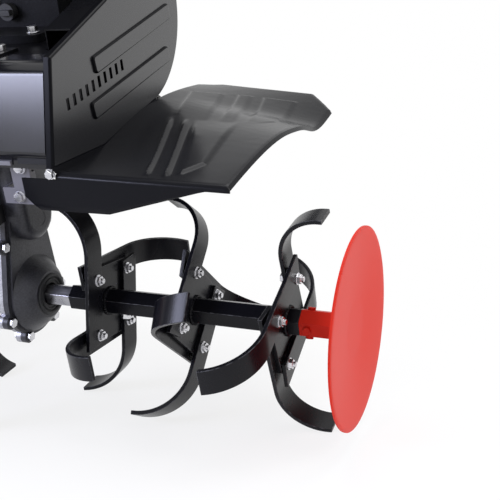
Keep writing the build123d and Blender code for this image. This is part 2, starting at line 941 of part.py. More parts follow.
def mudguard(inner):
    sheet = guard_sheet_at(inner, 0.0)
    raised = guard_sheet_at(inner, pad_rise)
    for outline in guard_pads:
        pad = make_face(Polyline(*[(x, -y) for x, y in outline], close=True))
        pad = fillet(pad.vertices(), pad_corner)
        sheet += raised & extrude(pad, amount=cut_length)
    (x0, y0), (x1, y1) = guard_corner
    past = guard_corner_cut
    corner = make_face(Polyline(
        (x0, -y0), (x1, -y1), (x1, -y1 - past), (x0 + past, -y1 - past), (x0 + past, -y0), close=True))
    sheet -= extrude(corner, amount=cut_length)
    rear, high = guard_inner_line[0]
    tail = guard_outer_line[0][1]
    low = high - skirt_drop
    side = [
        (-skirt_inner, high), (-inner, high), (-guard_outer, tail), (-guard_outer, tail - skirt_tail),
        (-skirt_flat_end, low), (-skirt_inner - skirt_corner, low), (-skirt_inner, low + skirt_corner),
    ]
    skirt = extrude(Plane.YZ.offset(rear) * make_face(Polyline(*side, close=True)), amount=-guard_sheet)
    return sheet + skirt


parts["mudguard_right"] = mudguard(guard_right_inner)
parts["mudguard_left"] = flip(mudguard(guard_left_inner))


# Brackets between the frame and the gearbox

def bracket():
    outer = -bracket_inner - bracket_width
    side = -neck_half - seat_gap
    front = bracket_x + bracket_thick
    plate = box(bracket_x, front, outer, -bracket_inner, bracket_low, wall_foot_z)
    arm = box(bracket_x, front, outer, side, bracket_low, bracket_low + tab_height)
    tab = box(bracket_x, bracket_x + tab_length, side - bracket_thick, side,
              bracket_low, bracket_low + tab_height)
    shelf_low = wall_foot_z + 1
    rear = wall_x(shelf_low + bracket_thick) + frame_sheet * slope_share + seat_gap
    shelf = box(rear, front, outer, -bracket_inner, wall_foot_z, shelf_low + bracket_thick)
    return plate + arm + tab + shelf


parts["gearbox_brackets"] = group([bracket(), flip(bracket())])

# Engine

engine_base = frame_top
foot_top = engine_base + engine_foot
engine_right = engine_y - crankcase_width / 2
engine_left = engine_y + crankcase_width / 2


def engine_bolt_spots():
    rows = (engine_y - bolt_span_y / 2, engine_y + bolt_span_y / 2)
    return [(x, y) for x in (bolt_rear_x, bolt_rear_x + bolt_span_x) for y in rows]


def crankcase():
    back = bolt_rear_x - foot_margin
    front = bolt_rear_x + bolt_span_x + foot_margin
    foot = box(back, front, engine_right, engine_left, engine_base, foot_top)
    foot = fillet(foot.edges().filter_by(Axis.Z), foot_round)
    block = box(crank_x - crankcase_rear, front, engine_right, engine_left, foot_top,
                crank_z + crankcase_rise)
    block = fillet(block.edges().filter_by(Axis.Y).group_by(Axis.Z)[-1], crankcase_round)
    boss = cyl_y(crank_boss_radius, engine_right - crank_boss_length, engine_right, crank_x, crank_z)
    body = foot + block + boss
    for number in range(case_rib_count):
        turn = 180.0 + number * 180.0 / (case_rib_count - 1)
        rib = box(crank_boss_radius - case_rib_root, crank_boss_radius + case_rib_reach,
                  engine_right - case_rib_rise, engine_right, -case_rib_half, case_rib_half)
        body += Pos(crank_x, 0, crank_z) * Rot(0, -turn, 0) * rib
    body -= cyl_y(crank_radius + run_fit, engine_right - crank_boss_length - 1, engine_left + 1,
                  crank_x, crank_z)
    relief = bolt_rear_x + bolt_span_x - foot_margin
    wall = crankcase_wall
    inside = box(crank_x - crankcase_rear + wall, front - wall, engine_right + wall, engine_left - wall,
                 foot_top + nut_relief + wall, crank_z + crankcase_rise - wall)
    body -= fillet(inside.edges().filter_by(Axis.Y).group_by(Axis.Z)[-1], crankcase_round - wall)
    body -= box(crank_x - crankcase_rear + wall, relief - wall, engine_right + wall, engine_left - wall,
                foot_top, foot_top + nut_relief + 2 * wall)
    for side in (-1, 1):
        y0 = engine_y + side * (bolt_span_y / 2 - washer_radius - nut_side_gap)
        y1 = engine_y + side * (crankcase_width / 2 + 1)
        body -= box(relief, front + 1, min(y0, y1), max(y0, y1), foot_top, foot_top + nut_relief)
    for x, y in engine_bolt_spots():
        body -= Pos(x, y, engine_base) * Cylinder(bolt_hole, 4 * engine_foot)
    return body


def engine_nuts():
    solids = []
    for x, y in engine_bolt_spots():
        solids.append(Pos(x, y, foot_top) * extrude(Circle(washer_radius), amount=washer_thick))
        solids.append(hex_z(engine_nut_af, x, y, foot_top + washer_thick, engine_nut_height))
    return solids


def cylinder_frame():
    lean = math.radians(cylinder_lift)
    ahead = (math.cos(lean), 0, math.sin(lean))
    return Plane(origin=(crank_x, engine_y, crank_z), x_dir=(0, 1, 0), z_dir=ahead)


def cylinder():
    plane = cylinder_frame()
    front = bolt_rear_x + bolt_span_x + foot_margin
    start = front - crank_x + fin_start
    body = extrude(plane * Circle(cylinder_radius), amount=start + fin_count * fin_pitch + head_length)
    fin = RectangleRounded(fin_width, fin_size, fin_corner)
    for number in range(fin_count):
        body += extrude(plane.offset(start + fin_pitch * (number + fin_phase)) * fin, amount=fin_thick)
    head = RectangleRounded(fin_width * head_share, fin_size * head_share, head_corner)
    body += extrude(plane.offset(start + fin_count * fin_pitch + fin_thick) * head, amount=head_length)
    return body & box(front, front + cut_length, -cut_length, cut_length, engine_base, crank_z + cut_length)


def cylinder_end():
    start = bolt_rear_x + bolt_span_x + foot_margin - crank_x + fin_start
    return start + fin_count * fin_pitch + fin_thick + head_length


def spark_plug():
    plane = cylinder_frame().offset(cylinder_end())
    nut = extrude(plane * RegularPolygon(radius=plug_hex_radius, side_count=6), amount=plug_hex_height)
    return nut + extrude(plane.offset(plug_hex_height) * Circle(plug_cap_radius), amount=plug_stem)


def fan_space(low, front):
    reach = 2 * fan_radius
    return box(crank_x - reach, crank_x + reach, engine_left - 1, front, low, crank_z + reach)


def fan_housing():
    rear = engine_left
    front = engine_left + fan_depth
    low = engine_base + fan_lift
    drum = cyl_y(fan_radius, rear, front, crank_x, crank_z)
    drum = fillet(drum.faces().sort_by(Axis.Y)[-1].edges(), fan_round)
    drum += cyl_y(fan_cap_radius, front, front + fan_cap_rise, crank_x, crank_z)
    drum &= fan_space(low, front + fan_cap_rise)
    hollow = cyl_y(fan_radius - fan_wall, rear - 1, front - fan_wall, crank_x, crank_z)
    hollow = fillet(hollow.faces().sort_by(Axis.Y)[-1].edges(), fan_round - fan_wall)
    drum -= hollow & fan_space(low + fan_wall, front)
    for turn in range(0, 360, fan_slot_step):
        spot = Pos(crank_x, crank_z) * Rot(0, 0, turn) * Pos(fan_cap_radius + fan_slot_out, 0)
        slot = spot * SlotOverall(fan_slot_length, fan_slot_width)
        drum -= prism_y(slot, front - fan_slot_depth, front + 1)
    return drum


def recoil_grip():
    z = crank_z + recoil_rise
    x = crank_x - fan_radius - recoil_gap
    y = engine_left + fan_depth / 2
    bar = Pos(x, y, z) * Rot(90, 0, 0) * Cylinder(recoil_bar_radius, recoil_bar_length)
    stem = Pos(x, y, z) * Rot(0, 90, 0) * extrude(Circle(recoil_stem_radius), amount=recoil_stem_length)
    return bar + stem


tank_low = crank_z + crankcase_rise + tank_lift
tank_x = crank_x + tank_ahead


def tank_form(inset):
    body = Pos(tank_x, engine_y, tank_low + tank_height / 2) * Box(
        tank_length - 2 * inset, tank_width - 2 * inset, tank_height - 2 * inset)
    body = fillet(body.edges().filter_by(Axis.Z), tank_corner - inset)
    return fillet(body.faces().sort_by(Axis.Z)[-1].edges(), tank_crown - inset)


def fuel_tank():
    seam = Pos(tank_x, engine_y, tank_low + tank_seam_rise) * extrude(
        RectangleRounded(tank_length + 2 * tank_seam, tank_width + 2 * tank_seam, tank_corner + tank_seam),
        amount=2 * tank_wall)
    neck = Pos(tank_x, engine_y, tank_low + tank_height) * extrude(Circle(tank_neck), amount=tank_neck_height)
    body = tank_form(0) + seam + neck
    leg_base = crank_z + crankcase_rise
    for y in (engine_y - tank_leg_spread, engine_y + tank_leg_spread):
        body += box(crank_x - 2 * tank_leg, crank_x - tank_leg, y - tank_leg / 2, y + tank_leg / 2,
                    leg_base, tank_low + tank_wall)
    mouth = Pos(tank_x, engine_y, tank_low + tank_height / 2) * extrude(
        Circle(tank_neck - tank_wall), amount=tank_height)
    return body - tank_form(tank_wall) - mouth


def fuel_cap():
    low = tank_low + tank_height + tank_neck_height + seat_gap
    cap = Pos(tank_x, engine_y, low) * extrude(Circle(cap_radius), amount=cap_height)
    for turn in range(0, 360, cap_groove_step):
        groove = Rot(0, 0, turn) * Pos(cap_radius + cap_groove_out, 0, 0) * Cylinder(
            cap_groove_radius, 4 * cap_height)
        cap -= Pos(tank_x, engine_y, low) * groove
    return cap


muffler_x = crank_x + cover_front_radius + muffler_gap
muffler_low = crank_z + crankcase_rise + muffler_lift


def pipe_down(y, radius):
    # stub from the underside of the muffler or filter onto the cylinder head
    foot = Pos(muffler_x + pipe_ahead, y, muffler_low - pipe_length)
    pipe = foot * extrude(Circle(radius), amount=pipe_length)
    return (pipe - cylinder()).solids().sort_by(Axis.Z)[-1]


def muffler():
    top = muffler_low + muffler_height
    front = muffler_x + muffler_length
    right = engine_y - muffler_side - muffler_width
    left = engine_y - muffler_side
    body = box(muffler_x, front, right, left, muffler_low, top)
    body = fillet(body.edges().filter_by(Axis.Y), muffler_round)
    wall = muffler_wall
    hollow = box(muffler_x + wall, front - wall, right + wall, left - wall, muffler_low + wall, top - wall)
    body -= fillet(hollow.edges().filter_by(Axis.Y), muffler_round - wall)
    for number in range(louvre_count):
        z = muffler_low + louvre_start + louvre_pitch * number
        body -= box(front - wall - 1, front + 1, right + louvre_margin, left - louvre_margin,
                    z, z + louvre_height)
    return body + pipe_down(left - muffler_pipe_in, pipe_radius)


def filter_form(inset):
    right = engine_y + filter_side
    body = box(muffler_x + inset, muffler_x + muffler_length - inset,
               right + inset, right + filter_width - inset,
               muffler_low + inset, muffler_low + muffler_height - inset)
    body = fillet(body.edges().filter_by(Axis.Z), filter_corner - inset)
    return fillet(body.faces().sort_by(Axis.Z)[-1].edges(), filter_crown - inset)


def air_filter():
    return filter_form(0) - filter_form(filter_wall)


def dipstick():
    y = engine_left - dipstick_in
    z = foot_top + dipstick_rise
    start = crank_x - crankcase_rear - seat_gap
    head = Pos(start, y, z) * Rot(0, -90, 0) * extrude(Circle(dipstick_radius), amount=dipstick_head)
    tab = extrude(Rectangle(*dipstick_tab), amount=dipstick_tab_height)
    return head + Pos(start - dipstick_head, y, z) * Rot(0, -90, 0) * tab


def crankshaft():
    outer = -belt_middle - belt_width / 2 - groove_wall - crank_end_out
    return cyl_y(crank_radius, outer, engine_left + crank_tail, crank_x, crank_z)


parts["crankcase"] = crankcase()
parts["cylinder"] = cylinder()
parts["spark_plug"] = spark_plug()
parts["fan_housing"] = fan_housing()
parts["recoil_grip"] = recoil_grip()
parts["fuel_tank"] = fuel_tank()
parts["fuel_cap"] = fuel_cap()
parts["muffler"] = muffler()
parts["air_filter"] = air_filter()
parts["carburettor"] = pipe_down(engine_y + carburettor_side, pipe_radius + carburettor_wall)
parts["dipstick"] = dipstick()
parts["crankshaft"] = crankshaft()


# Handle column on the frame's rear, handlebar and its levers

pivot_z = frame_top + column_height - pivot_drop


def handle_column():
    reach = column_width / 2
    side = reach + column_base_side
    base = box(column_x - column_base_back, column_x + column_base_front, -side, side,
               frame_top, frame_top + column_sheet)
    cheek = box(column_x - column_half_length, column_x + column_half_length, reach - column_sheet, reach,
                frame_top, frame_top + column_height)
    cheek = fillet(cheek.edges().filter_by(Axis.Y).group_by(Axis.Z)[-1], column_round)
    body = base + cheek + flip(cheek)
    return body - cyl_y(pivot_radius + run_fit, -reach - 1, reach + 1, column_x, pivot_z)


def column_nuts():
    solids = []
    seat = frame_top + column_sheet
    for y in (-column_nut_side, column_nut_side):
        solids.append(hex_z(engine_nut_af, column_x + column_nut_front, y, seat, engine_nut_height))
        solids.append(hex_z(engine_nut_af, column_x - column_nut_back, y, seat, engine_nut_height))
    return solids


def handle_path():
    neck = (column_x - neck_back, neck_spread, pivot_z)
    spread = (handle_bend_x, handle_spread, pivot_z + handle_bend_rise)
    end = (handle_end_x, handle_spread, pivot_z + handle_end_rise)
    left = [end, spread, neck]
    right = [(x, -y, z) for x, y, z in reversed(left)]
    return FilletPolyline(*(left + right), radius=handle_bend)


def handlebar():
    path = handle_path()
    ring = Circle(handle_tube) - Circle(handle_tube - handle_wall)
    tube = sweep(Plane(origin=path @ 0, z_dir=path % 0) * ring, path=path)
    reach = column_width / 2 - column_sheet - free_gap
    back = column_x - neck_back
    neck = box(back, column_x + handle_neck_front, -reach, reach, pivot_z - handle_neck_half,
               pivot_z + handle_neck_half)
    neck = fillet(neck.edges().filter_by(Axis.Y).group_by(Axis.X)[-1], handle_neck_round)
    neck -= cyl_y(pivot_radius + run_fit, -reach - 1, reach + 1, column_x, pivot_z)
    neck -= cyl_y(handle_tube - handle_neck_bite, -reach - 1, reach + 1, back, pivot_z)
    return tube + neck


def grip_frame(side):
    start = Vector(handle_bend_x, side * handle_spread, pivot_z + handle_bend_rise)
    end = Vector(handle_end_x, side * handle_spread, pivot_z + handle_end_rise)
    run = end - start
    return Plane(origin=end, x_dir=(0, 1, 0), z_dir=run.normalized())


def grip(side):
    plane = grip_frame(side).offset(-grip_length)
    sleeve = extrude(plane * (Circle(handle_tube + grip_wall) - Circle(handle_tube)), amount=grip_length)
    cap = extrude(plane.offset(grip_length) * Circle(handle_tube + grip_wall), amount=grip_cap)
    return sleeve + cap


def lever_plane(side):
    # local x runs back along the tube, local y up, at the lever's clamp
    run = grip_frame(side)
    origin = run.origin - run.z_dir * (grip_length + clamp_ahead)
    return Plane(origin=origin, x_dir=run.z_dir, z_dir=(0, 1, 0))


def lever_clamp(side):
    run = grip_frame(side).offset(-grip_length - clamp_ahead - clamp_half)
    ring = extrude(run * (Circle(handle_tube + clamp_wall) - Circle(handle_tube)), amount=2 * clamp_half)
    plane = lever_plane(side)
    drop = -handle_tube - lever_drop
    ear = Pos(0, drop / 2 - lever_ear_low) * Rectangle(lever_ear_width, -drop - lever_ear_short)
    inside = lever_width / 2 + free_gap
    sides = (-inside - lever_ear_sheet, inside)
    lugs = [extrude(plane.offset(y) * ear, amount=lever_ear_sheet) for y in sides]
    body = ring + lugs[0] + lugs[1]
    hole = Pos(0, drop) * Circle(lever_pin + run_fit)
    bore = extrude(plane.offset(-lever_bore) * hole, amount=2 * lever_bore)
    body -= extrude(run.offset(-1) * Circle(handle_tube), amount=3 * clamp_half)
    return body - bore


def hand_lever(side):
    plane = lever_plane(side)
    drop = -handle_tube - lever_drop
    half_pin = lever_width / 2 + free_gap + lever_ear_sheet
    pin = extrude(plane.offset(-half_pin) * Pos(0, drop) * Circle(lever_pin), amount=2 * half_pin)
    under = drop - lever_hub_half
    over = drop + lever_hub_half
    low = drop - lever_low
    high = low + lever_bar
    bar = make_face(Polyline(
        (-lever_heel, under), (lever_knee[0], under), (lever_knee[1], low), (lever_length, low),
        (lever_length, high), (lever_bend[1], high), (lever_bend[0], over), (-lever_heel, over), close=True))
    return extrude(plane.offset(-lever_width / 2) * bar, amount=lever_width) + pin


def throttle_body():
    run = grip_frame(-1).offset(-grip_length - clamp_ahead - throttle_ahead - throttle_length / 2)
    return extrude(run * (Circle(handle_tube + throttle_wall) - Circle(handle_tube)), amount=throttle_length)


def throttle_lever():
    plane = lever_plane(-1)
    spot = plane.from_local_coords(Vector(-throttle_ahead, handle_tube + throttle_wall + seat_gap, 0))
    top = Plane(origin=spot, x_dir=plane.x_dir, z_dir=plane.y_dir)
    hub = extrude(top * Circle(throttle_hub), amount=throttle_hub_height)
    outline = RectangleRounded(throttle_arm, throttle_arm_width, throttle_arm_corner)
    arm = extrude(top * Pos(throttle_arm / 2, 0) * outline, amount=throttle_arm_thick)
    return hub + arm


parts["handle_column"] = handle_column()
parts["engine_nuts"] = group(engine_nuts() + column_nuts())
parts["handle_pivot"] = cyl_y(
    pivot_radius, -column_width / 2 - pivot_end, column_width / 2 + pivot_end, column_x, pivot_z)
parts["handlebar"] = handlebar()
parts["handle_grips"] = group([grip(1), grip(-1)])
parts["lever_clamps"] = group([lever_clamp(1), lever_clamp(-1), throttle_body()])
parts["clutch_lever"] = hand_lever(-1)
parts["reverse_lever"] = hand_lever(1)
parts["throttle_lever"] = throttle_lever()


# Transport wheel at the front, on a leg that slides in a sleeve and is drawn up for tilling

axle_z = wheel_rest
fork_gap = wheel_width / 2 + fork_side_gap
sleeve_inside = leg_size / 2 + leg_fit
sleeve_outside = sleeve_inside + sleeve_wall
sleeve_high = sleeve_low + sleeve_height


def wheel_bracket():
    plate_low = frame_top - frame_front_drop + frame_sheet
    plate_high = frame_top - bracket_plate_drop
    reach = sleeve_outside + bracket_plate_side
    plate = box(frame_front, frame_front + bracket_plate, -reach, reach, plate_low, plate_high)
    sleeve = box(wheel_x - sleeve_outside, wheel_x + sleeve_outside, -sleeve_outside, sleeve_outside,
                 sleeve_low, sleeve_high)
    side = make_face(Polyline(
        (frame_front, plate_low), (wheel_x - sleeve_outside, sleeve_low),
        (wheel_x + sleeve_outside, sleeve_low), (wheel_x + sleeve_outside, sleeve_high),
        (wheel_x - sleeve_outside, sleeve_high), (frame_front, plate_high),
        close=True))
    cheek = prism_y(side, sleeve_outside, sleeve_outside + sleeve_wall)
    body = plate + sleeve + cheek + flip(cheek)
    body -= box(wheel_x - sleeve_inside, wheel_x + sleeve_inside, -sleeve_inside, sleeve_inside,
                sleeve_low - 1, sleeve_high + 1)
    bore = Rot(0, 90, 0) * extrude(Circle(screw_radius + run_fit), amount=2 * sleeve_outside)
    return body - Pos(wheel_x, 0, (sleeve_low + sleeve_high) / 2) * bore


def wheel_fork():
    half = leg_size / 2
    crown_low = axle_z + wheel_radius + crown_gap
    crown_high = crown_low + fork_thick
    reach = fork_gap + fork_thick
    leg_top = sleeve_high + leg_rise
    leg = box(wheel_x - half, wheel_x + half, -half, half, crown_low, leg_top)
    inside = half - leg_wall
    leg -= box(wheel_x - inside, wheel_x + inside, -inside, inside, crown_high, leg_top + 1)
    crown = box(wheel_x - fork_width / 2, wheel_x + fork_width / 2, -reach, reach, crown_low, crown_high)
    bar = hull_face((wheel_x, axle_z, fork_width / 2), (wheel_x, crown_high, fork_width / 2))
    arm = prism_y(bar, fork_gap, reach)
    arm &= box(wheel_x - fork_width, wheel_x + fork_width, 0, reach, axle_z - fork_width, crown_high)
    arm -= cyl_y(axle_radius + run_fit, fork_gap - 1, reach + 1, wheel_x, axle_z)
    return leg + crown + arm + flip(arm)


def front_wheel():
    half = wheel_width / 2
    hub = half + wheel_hub_out
    bed = rim_radius - rim_lip
    points = [
        (axle_radius + run_fit, -hub), (wheel_hub_radius, -hub), (wheel_hub_radius, -wheel_web / 2),
        (bed, -wheel_web / 2), (bed, -half + rim_lip), (rim_radius, -half + rim_lip),
        (wheel_radius - tyre_wall, -half), (wheel_radius, -half + tyre_shoulder),
    ]
    mirrored = [(r, -y) for r, y in reversed(points)]
    return spun_y(points + mirrored, wheel_x, axle_z)


def wheel_axle():
    reach = fork_gap + fork_thick
    pin = cyl_y(axle_radius, -reach - axle_end, reach + axle_end, wheel_x, axle_z)
    head = hex_y(axle_nut_af, reach + seat_gap, reach + seat_gap + axle_nut_height, wheel_x, axle_z)
    return pin + head + flip(head)


def clamp_screw(length):
    # screw along +X from the origin, with a T bar across its end
    stem = Rot(0, 90, 0) * extrude(Circle(screw_radius), amount=length)
    bar = Rot(90, 0, 0) * Cylinder(screw_bar_radius, 2 * screw_bar)
    return stem + Pos(length - screw_bar_radius, 0, 0) * bar


parts["wheel_bracket"] = wheel_bracket()
parts["wheel_fork"] = wheel_fork()
parts["front_wheel"] = front_wheel()
parts["wheel_axle"] = wheel_axle()
wheel_screw_seat = Pos(wheel_x + leg_size / 2 + free_gap, 0, (sleeve_low + sleeve_high) / 2)
parts["wheel_screw"] = wheel_screw_seat * clamp_screw(screw_length)


# Drag spur behind the tines

clamp_z = holder_low + holder_height / 2


def spur_holder():
    inside_x = spur_thick / 2 + spur_fit
    inside_y = spur_width / 2 + spur_fit
    outside_x = inside_x + holder_wall
    outside_y = inside_y + holder_wall
    arm_low = holder_arm_z - holder_arm / 2
    arm_high = holder_arm_z + holder_arm / 2
    sleeve = box(spur_x - outside_x, spur_x + outside_x, -outside_y, outside_y, holder_low, arm_high)
    arm = box(spur_x + inside_x, holder_seat, -holder_arm / 2, holder_arm / 2, arm_low, arm_high)
    gusset = make_face(Polyline((spur_x + outside_x, holder_low + holder_wall),
                                (spur_x + holder_gusset, arm_low), (spur_x + outside_x, arm_low), close=True))
    body = sleeve + arm + prism_y(gusset, -holder_wall, holder_wall)
    body -= box(spur_x - inside_x, spur_x + inside_x, -inside_y, inside_y, holder_low - 1, arm_high + 1)
    bore = Rot(0, -90, 0) * extrude(Circle(screw_radius + run_fit), amount=2 * outside_x)
    return body - Pos(spur_x, 0, clamp_z) * bore


def drag_spur():
    # the foot is cut to lie flat on the ground in the machine's stance
    rear = spur_x - spur_thick / 2
    front = spur_x + spur_thick / 2
    side = make_face(Polyline(
        (rear, ground_at(rear)), (front, ground_at(front)), (front, spur_top), (rear, spur_top), close=True))
    bar = prism_y(side, -spur_width / 2, spur_width / 2)
    low = min(ground_at(rear), ground_at(front)) - 1
    tip = ground_at(front)
    point = make_face(Polyline(
        (-spur_width, low), (-spur_point / 2, low), (-spur_point / 2, tip),
        (-spur_width / 2, tip + spur_taper), (-spur_width, tip + spur_taper), close=True))
    trim = extrude(Plane.YZ.offset(rear - 1) * point, amount=spur_thick + 2)
    bar -= trim + flip(trim)
    for number in range(spur_hole_count):
        hole = Rot(0, 90, 0) * Cylinder(screw_radius + spur_hole_play, 4 * spur_thick)
        bar -= Pos(spur_x, 0, clamp_z - spur_hole_pitch * number) * hole
    return bar


parts["spur_holder"] = spur_holder()
parts["drag_spur"] = drag_spur()
spur_screw_seat = Pos(spur_x - spur_thick / 2 - free_gap, 0, clamp_z)
parts["spur_screw"] = spur_screw_seat * Rot(0, 0, 180) * clamp_screw(screw_length)


# Lean the machine back and set it down on the ground, middle of its bounds over the origin

stood = {name: stance * group([shape]) for name, shape in parts.items()}
boxes = [shape.bounding_box() for shape in stood.values()]
middle_x = (min(b.min.X for b in boxes) + max(b.max.X for b in boxes)) / 2
middle_y = (min(b.min.Y for b in boxes) + max(b.max.Y for b in boxes)) / 2
shift = Pos(-middle_x, -middle_y, -ground)
os.makedirs("parts", exist_ok=True)
for name, shape in stood.items():
    export_step(shift * shape, f"parts/{name}.step")
print("shaft middle at", (round(-middle_x, 3), round(-middle_y, 3), round(-ground, 3)))
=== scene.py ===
import bpy
import bmesh
import json
import math
from mathutils import Matrix, Vector
from mathutils.bvhtree import BVHTree


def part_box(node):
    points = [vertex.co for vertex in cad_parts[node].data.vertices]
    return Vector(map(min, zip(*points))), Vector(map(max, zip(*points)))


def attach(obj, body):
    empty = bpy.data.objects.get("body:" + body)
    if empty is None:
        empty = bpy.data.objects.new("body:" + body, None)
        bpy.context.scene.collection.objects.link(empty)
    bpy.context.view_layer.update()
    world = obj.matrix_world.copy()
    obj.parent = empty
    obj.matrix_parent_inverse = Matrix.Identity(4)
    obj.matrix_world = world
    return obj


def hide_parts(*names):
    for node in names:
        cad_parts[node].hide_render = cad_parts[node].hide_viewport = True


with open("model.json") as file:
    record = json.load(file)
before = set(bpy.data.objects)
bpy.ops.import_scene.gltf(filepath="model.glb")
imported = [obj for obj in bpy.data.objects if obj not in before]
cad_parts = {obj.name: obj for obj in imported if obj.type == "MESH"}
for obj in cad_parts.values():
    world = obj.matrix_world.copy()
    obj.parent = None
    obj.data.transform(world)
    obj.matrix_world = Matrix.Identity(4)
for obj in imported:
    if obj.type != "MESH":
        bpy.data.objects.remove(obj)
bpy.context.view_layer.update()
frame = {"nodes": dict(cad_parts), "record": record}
scene = bpy.context.scene
scene.view_settings.view_transform = "Standard"
bodies = frame["record"]["behaviour"]["bodies"]
nodeBody = {node: body for body, members in bodies.items() for node in members}
shaftLow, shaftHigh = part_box("tine_shaft")
shaftMiddle = (shaftLow + shaftHigh) / 2
print("frame loaded,", len(frame["nodes"]), "nodes")


# camera at the photo's place, measured from the middle of the tine shaft

cameraSetup = {
    "place": (-1.0799, -0.8126, 0.3395),
    "right": (0.3746, -0.9272, 0.0),
    "up": (0.1896, 0.0766, 0.9789),
    "ahead": (0.9075, 0.3667, -0.2045),
    "lens": 61.2,
    "sensor": 36.0,
    "nearest": 0.05,
    "farthest": 60.0,
}


def axesMatrix(x, y, z):
    return Matrix((x, y, z)).transposed().to_4x4()


def addCamera():
    data = bpy.data.cameras.new("photoCamera")
    data.lens = cameraSetup["lens"]
    data.sensor_width = cameraSetup["sensor"]
    data.sensor_fit = "HORIZONTAL"
    data.clip_start = cameraSetup["nearest"]
    data.clip_end = cameraSetup["farthest"]
    camera = bpy.data.objects.new("photoCamera", data)
    scene.collection.objects.link(camera)
    right, up, ahead = (Vector(cameraSetup[key]) for key in ("right", "up", "ahead"))
    turn = axesMatrix(right, up, -ahead)
    turn.translation = shaftMiddle + Vector(cameraSetup["place"])
    camera.matrix_world = turn
    scene.camera = camera


addCamera()


# pale floor, white surround and soft lamps

stageSetup = {
    "floorSize": 30.0,
    "floorColour": (0.86, 0.86, 0.87, 1),
    "nearGlow": 0.80,  # share of plain white close to the machine, where its shadow lies
    "fadeStart": 0.55,
    "fadeEnd": 1.25,
    "skyColour": (0.93, 0.95, 1.0, 1),
    "skyLight": 0.42,
    "lamps": (
        # name, place, target, size, watts, colour
        ("rearSoftbox", (-1.15, 0.95, 0.80), (0.12, -0.02, 0.48), (0.9, 0.5), 30, (0.72, 0.75, 1.0)),
        ("rightSoftbox", (0.7, -2.8, 1.9), (0.1, -0.2, 0.3), (1.8, 1.4), 46, (1.0, 0.99, 0.97)),
        ("topSoftbox", (0.6, -0.4, 3.0), (0.1, -0.2, 0.3), (2.0, 2.0), 52, (1.0, 1.0, 1.0)),
    ),
}


def mathNode(tree, kind, first, second):
    node = tree.nodes.new("ShaderNodeMath")
    node.operation = kind
    for slot, value in enumerate((first, second)):
        if isinstance(value, (int, float)):
            node.inputs[slot].default_value = value
        else:
            tree.links.new(value, node.inputs[slot])
    return node.outputs[0]


def rayMask(tree):
    # 1 for what the camera sees, also in a mirror or through glass
    path = tree.nodes.new("ShaderNodeLightPath")
    first = mathNode(tree, "MAXIMUM", path.outputs["Is Camera Ray"], path.outputs["Is Glossy Ray"])
    return mathNode(tree, "MAXIMUM", first, path.outputs["Is Transmission Ray"])


def addSurround():
    world = bpy.data.worlds.new("whiteSurround")
    scene.world = world
    world.use_nodes = True
    tree = world.node_tree
    tree.nodes.clear()
    out = tree.nodes.new("ShaderNodeOutputWorld")
    mix = tree.nodes.new("ShaderNodeMixShader")
    soft = tree.nodes.new("ShaderNodeBackground")
    soft.inputs["Color"].default_value = stageSetup["skyColour"]
    soft.inputs["Strength"].default_value = stageSetup["skyLight"]
    white = tree.nodes.new("ShaderNodeBackground")
    white.inputs["Color"].default_value = (1, 1, 1, 1)
    white.inputs["Strength"].default_value = 1.0
    tree.links.new(rayMask(tree), mix.inputs[0])
    tree.links.new(soft.outputs[0], mix.inputs[1])
    tree.links.new(white.outputs[0], mix.inputs[2])
    tree.links.new(mix.outputs[0], out.inputs["Surface"])


def addFloor():
    bm = bmesh.new()
    bmesh.ops.create_grid(bm, x_segments=2, y_segments=2, size=stageSetup["floorSize"] / 2)
    mesh = bpy.data.meshes.new("floor")
    bm.to_mesh(mesh)
    bm.free()
    floor = bpy.data.objects.new("floor", mesh)
    scene.collection.objects.link(floor)
    material = bpy.data.materials.new("floorPaper")
    material.use_nodes = True
    tree = material.node_tree
    tree.nodes.clear()
    out = tree.nodes.new("ShaderNodeOutputMaterial")
    diffuse = tree.nodes.new("ShaderNodeBsdfDiffuse")
    diffuse.inputs["Color"].default_value = stageSetup["floorColour"]
    glow = tree.nodes.new("ShaderNodeEmission")
    glow.inputs["Color"].default_value = (1, 1, 1, 1)
    # the paper fades to plain white away from the machine, so no horizon shows
    where = tree.nodes.new("ShaderNodeTexCoord").outputs["Object"]
    reach = tree.nodes.new("ShaderNodeVectorMath")
    reach.operation = "LENGTH"
    tree.links.new(where, reach.inputs[0])
    fade = tree.nodes.new("ShaderNodeMapRange")
    fade.interpolation_type = "SMOOTHSTEP"
    fade.inputs["From Min"].default_value = stageSetup["fadeStart"]
    fade.inputs["From Max"].default_value = stageSetup["fadeEnd"]
    fade.inputs["To Min"].default_value = stageSetup["nearGlow"]
    fade.inputs["To Max"].default_value = 1.0
    tree.links.new(reach.outputs["Value"], fade.inputs["Value"])
    mix = tree.nodes.new("ShaderNodeMixShader")
    share = mathNode(tree, "MULTIPLY", rayMask(tree), fade.outputs["Result"])
    tree.links.new(share, mix.inputs[0])
    tree.links.new(diffuse.outputs[0], mix.inputs[1])
    tree.links.new(glow.outputs[0], mix.inputs[2])
    tree.links.new(mix.outputs[0], out.inputs["Surface"])
    mesh.materials.append(material)


def addLamps():
    for name, place, target, size, watts, colour in stageSetup["lamps"]:
        data = bpy.data.lights.new(name, "AREA")
        data.shape = "RECTANGLE"
        data.size, data.size_y = size
        data.energy = watts
        data.color = colour
        lamp = bpy.data.objects.new(name, data)
        scene.collection.objects.link(lamp)
        lamp.location = place
        lamp.visible_camera = False
        lamp.rotation_euler = (Vector(target) - Vector(place)).to_track_quat("-Z", "Y").to_euler()


addSurround()
addFloor()
addLamps()
print("stage ready")


# shared surface effects as node groups

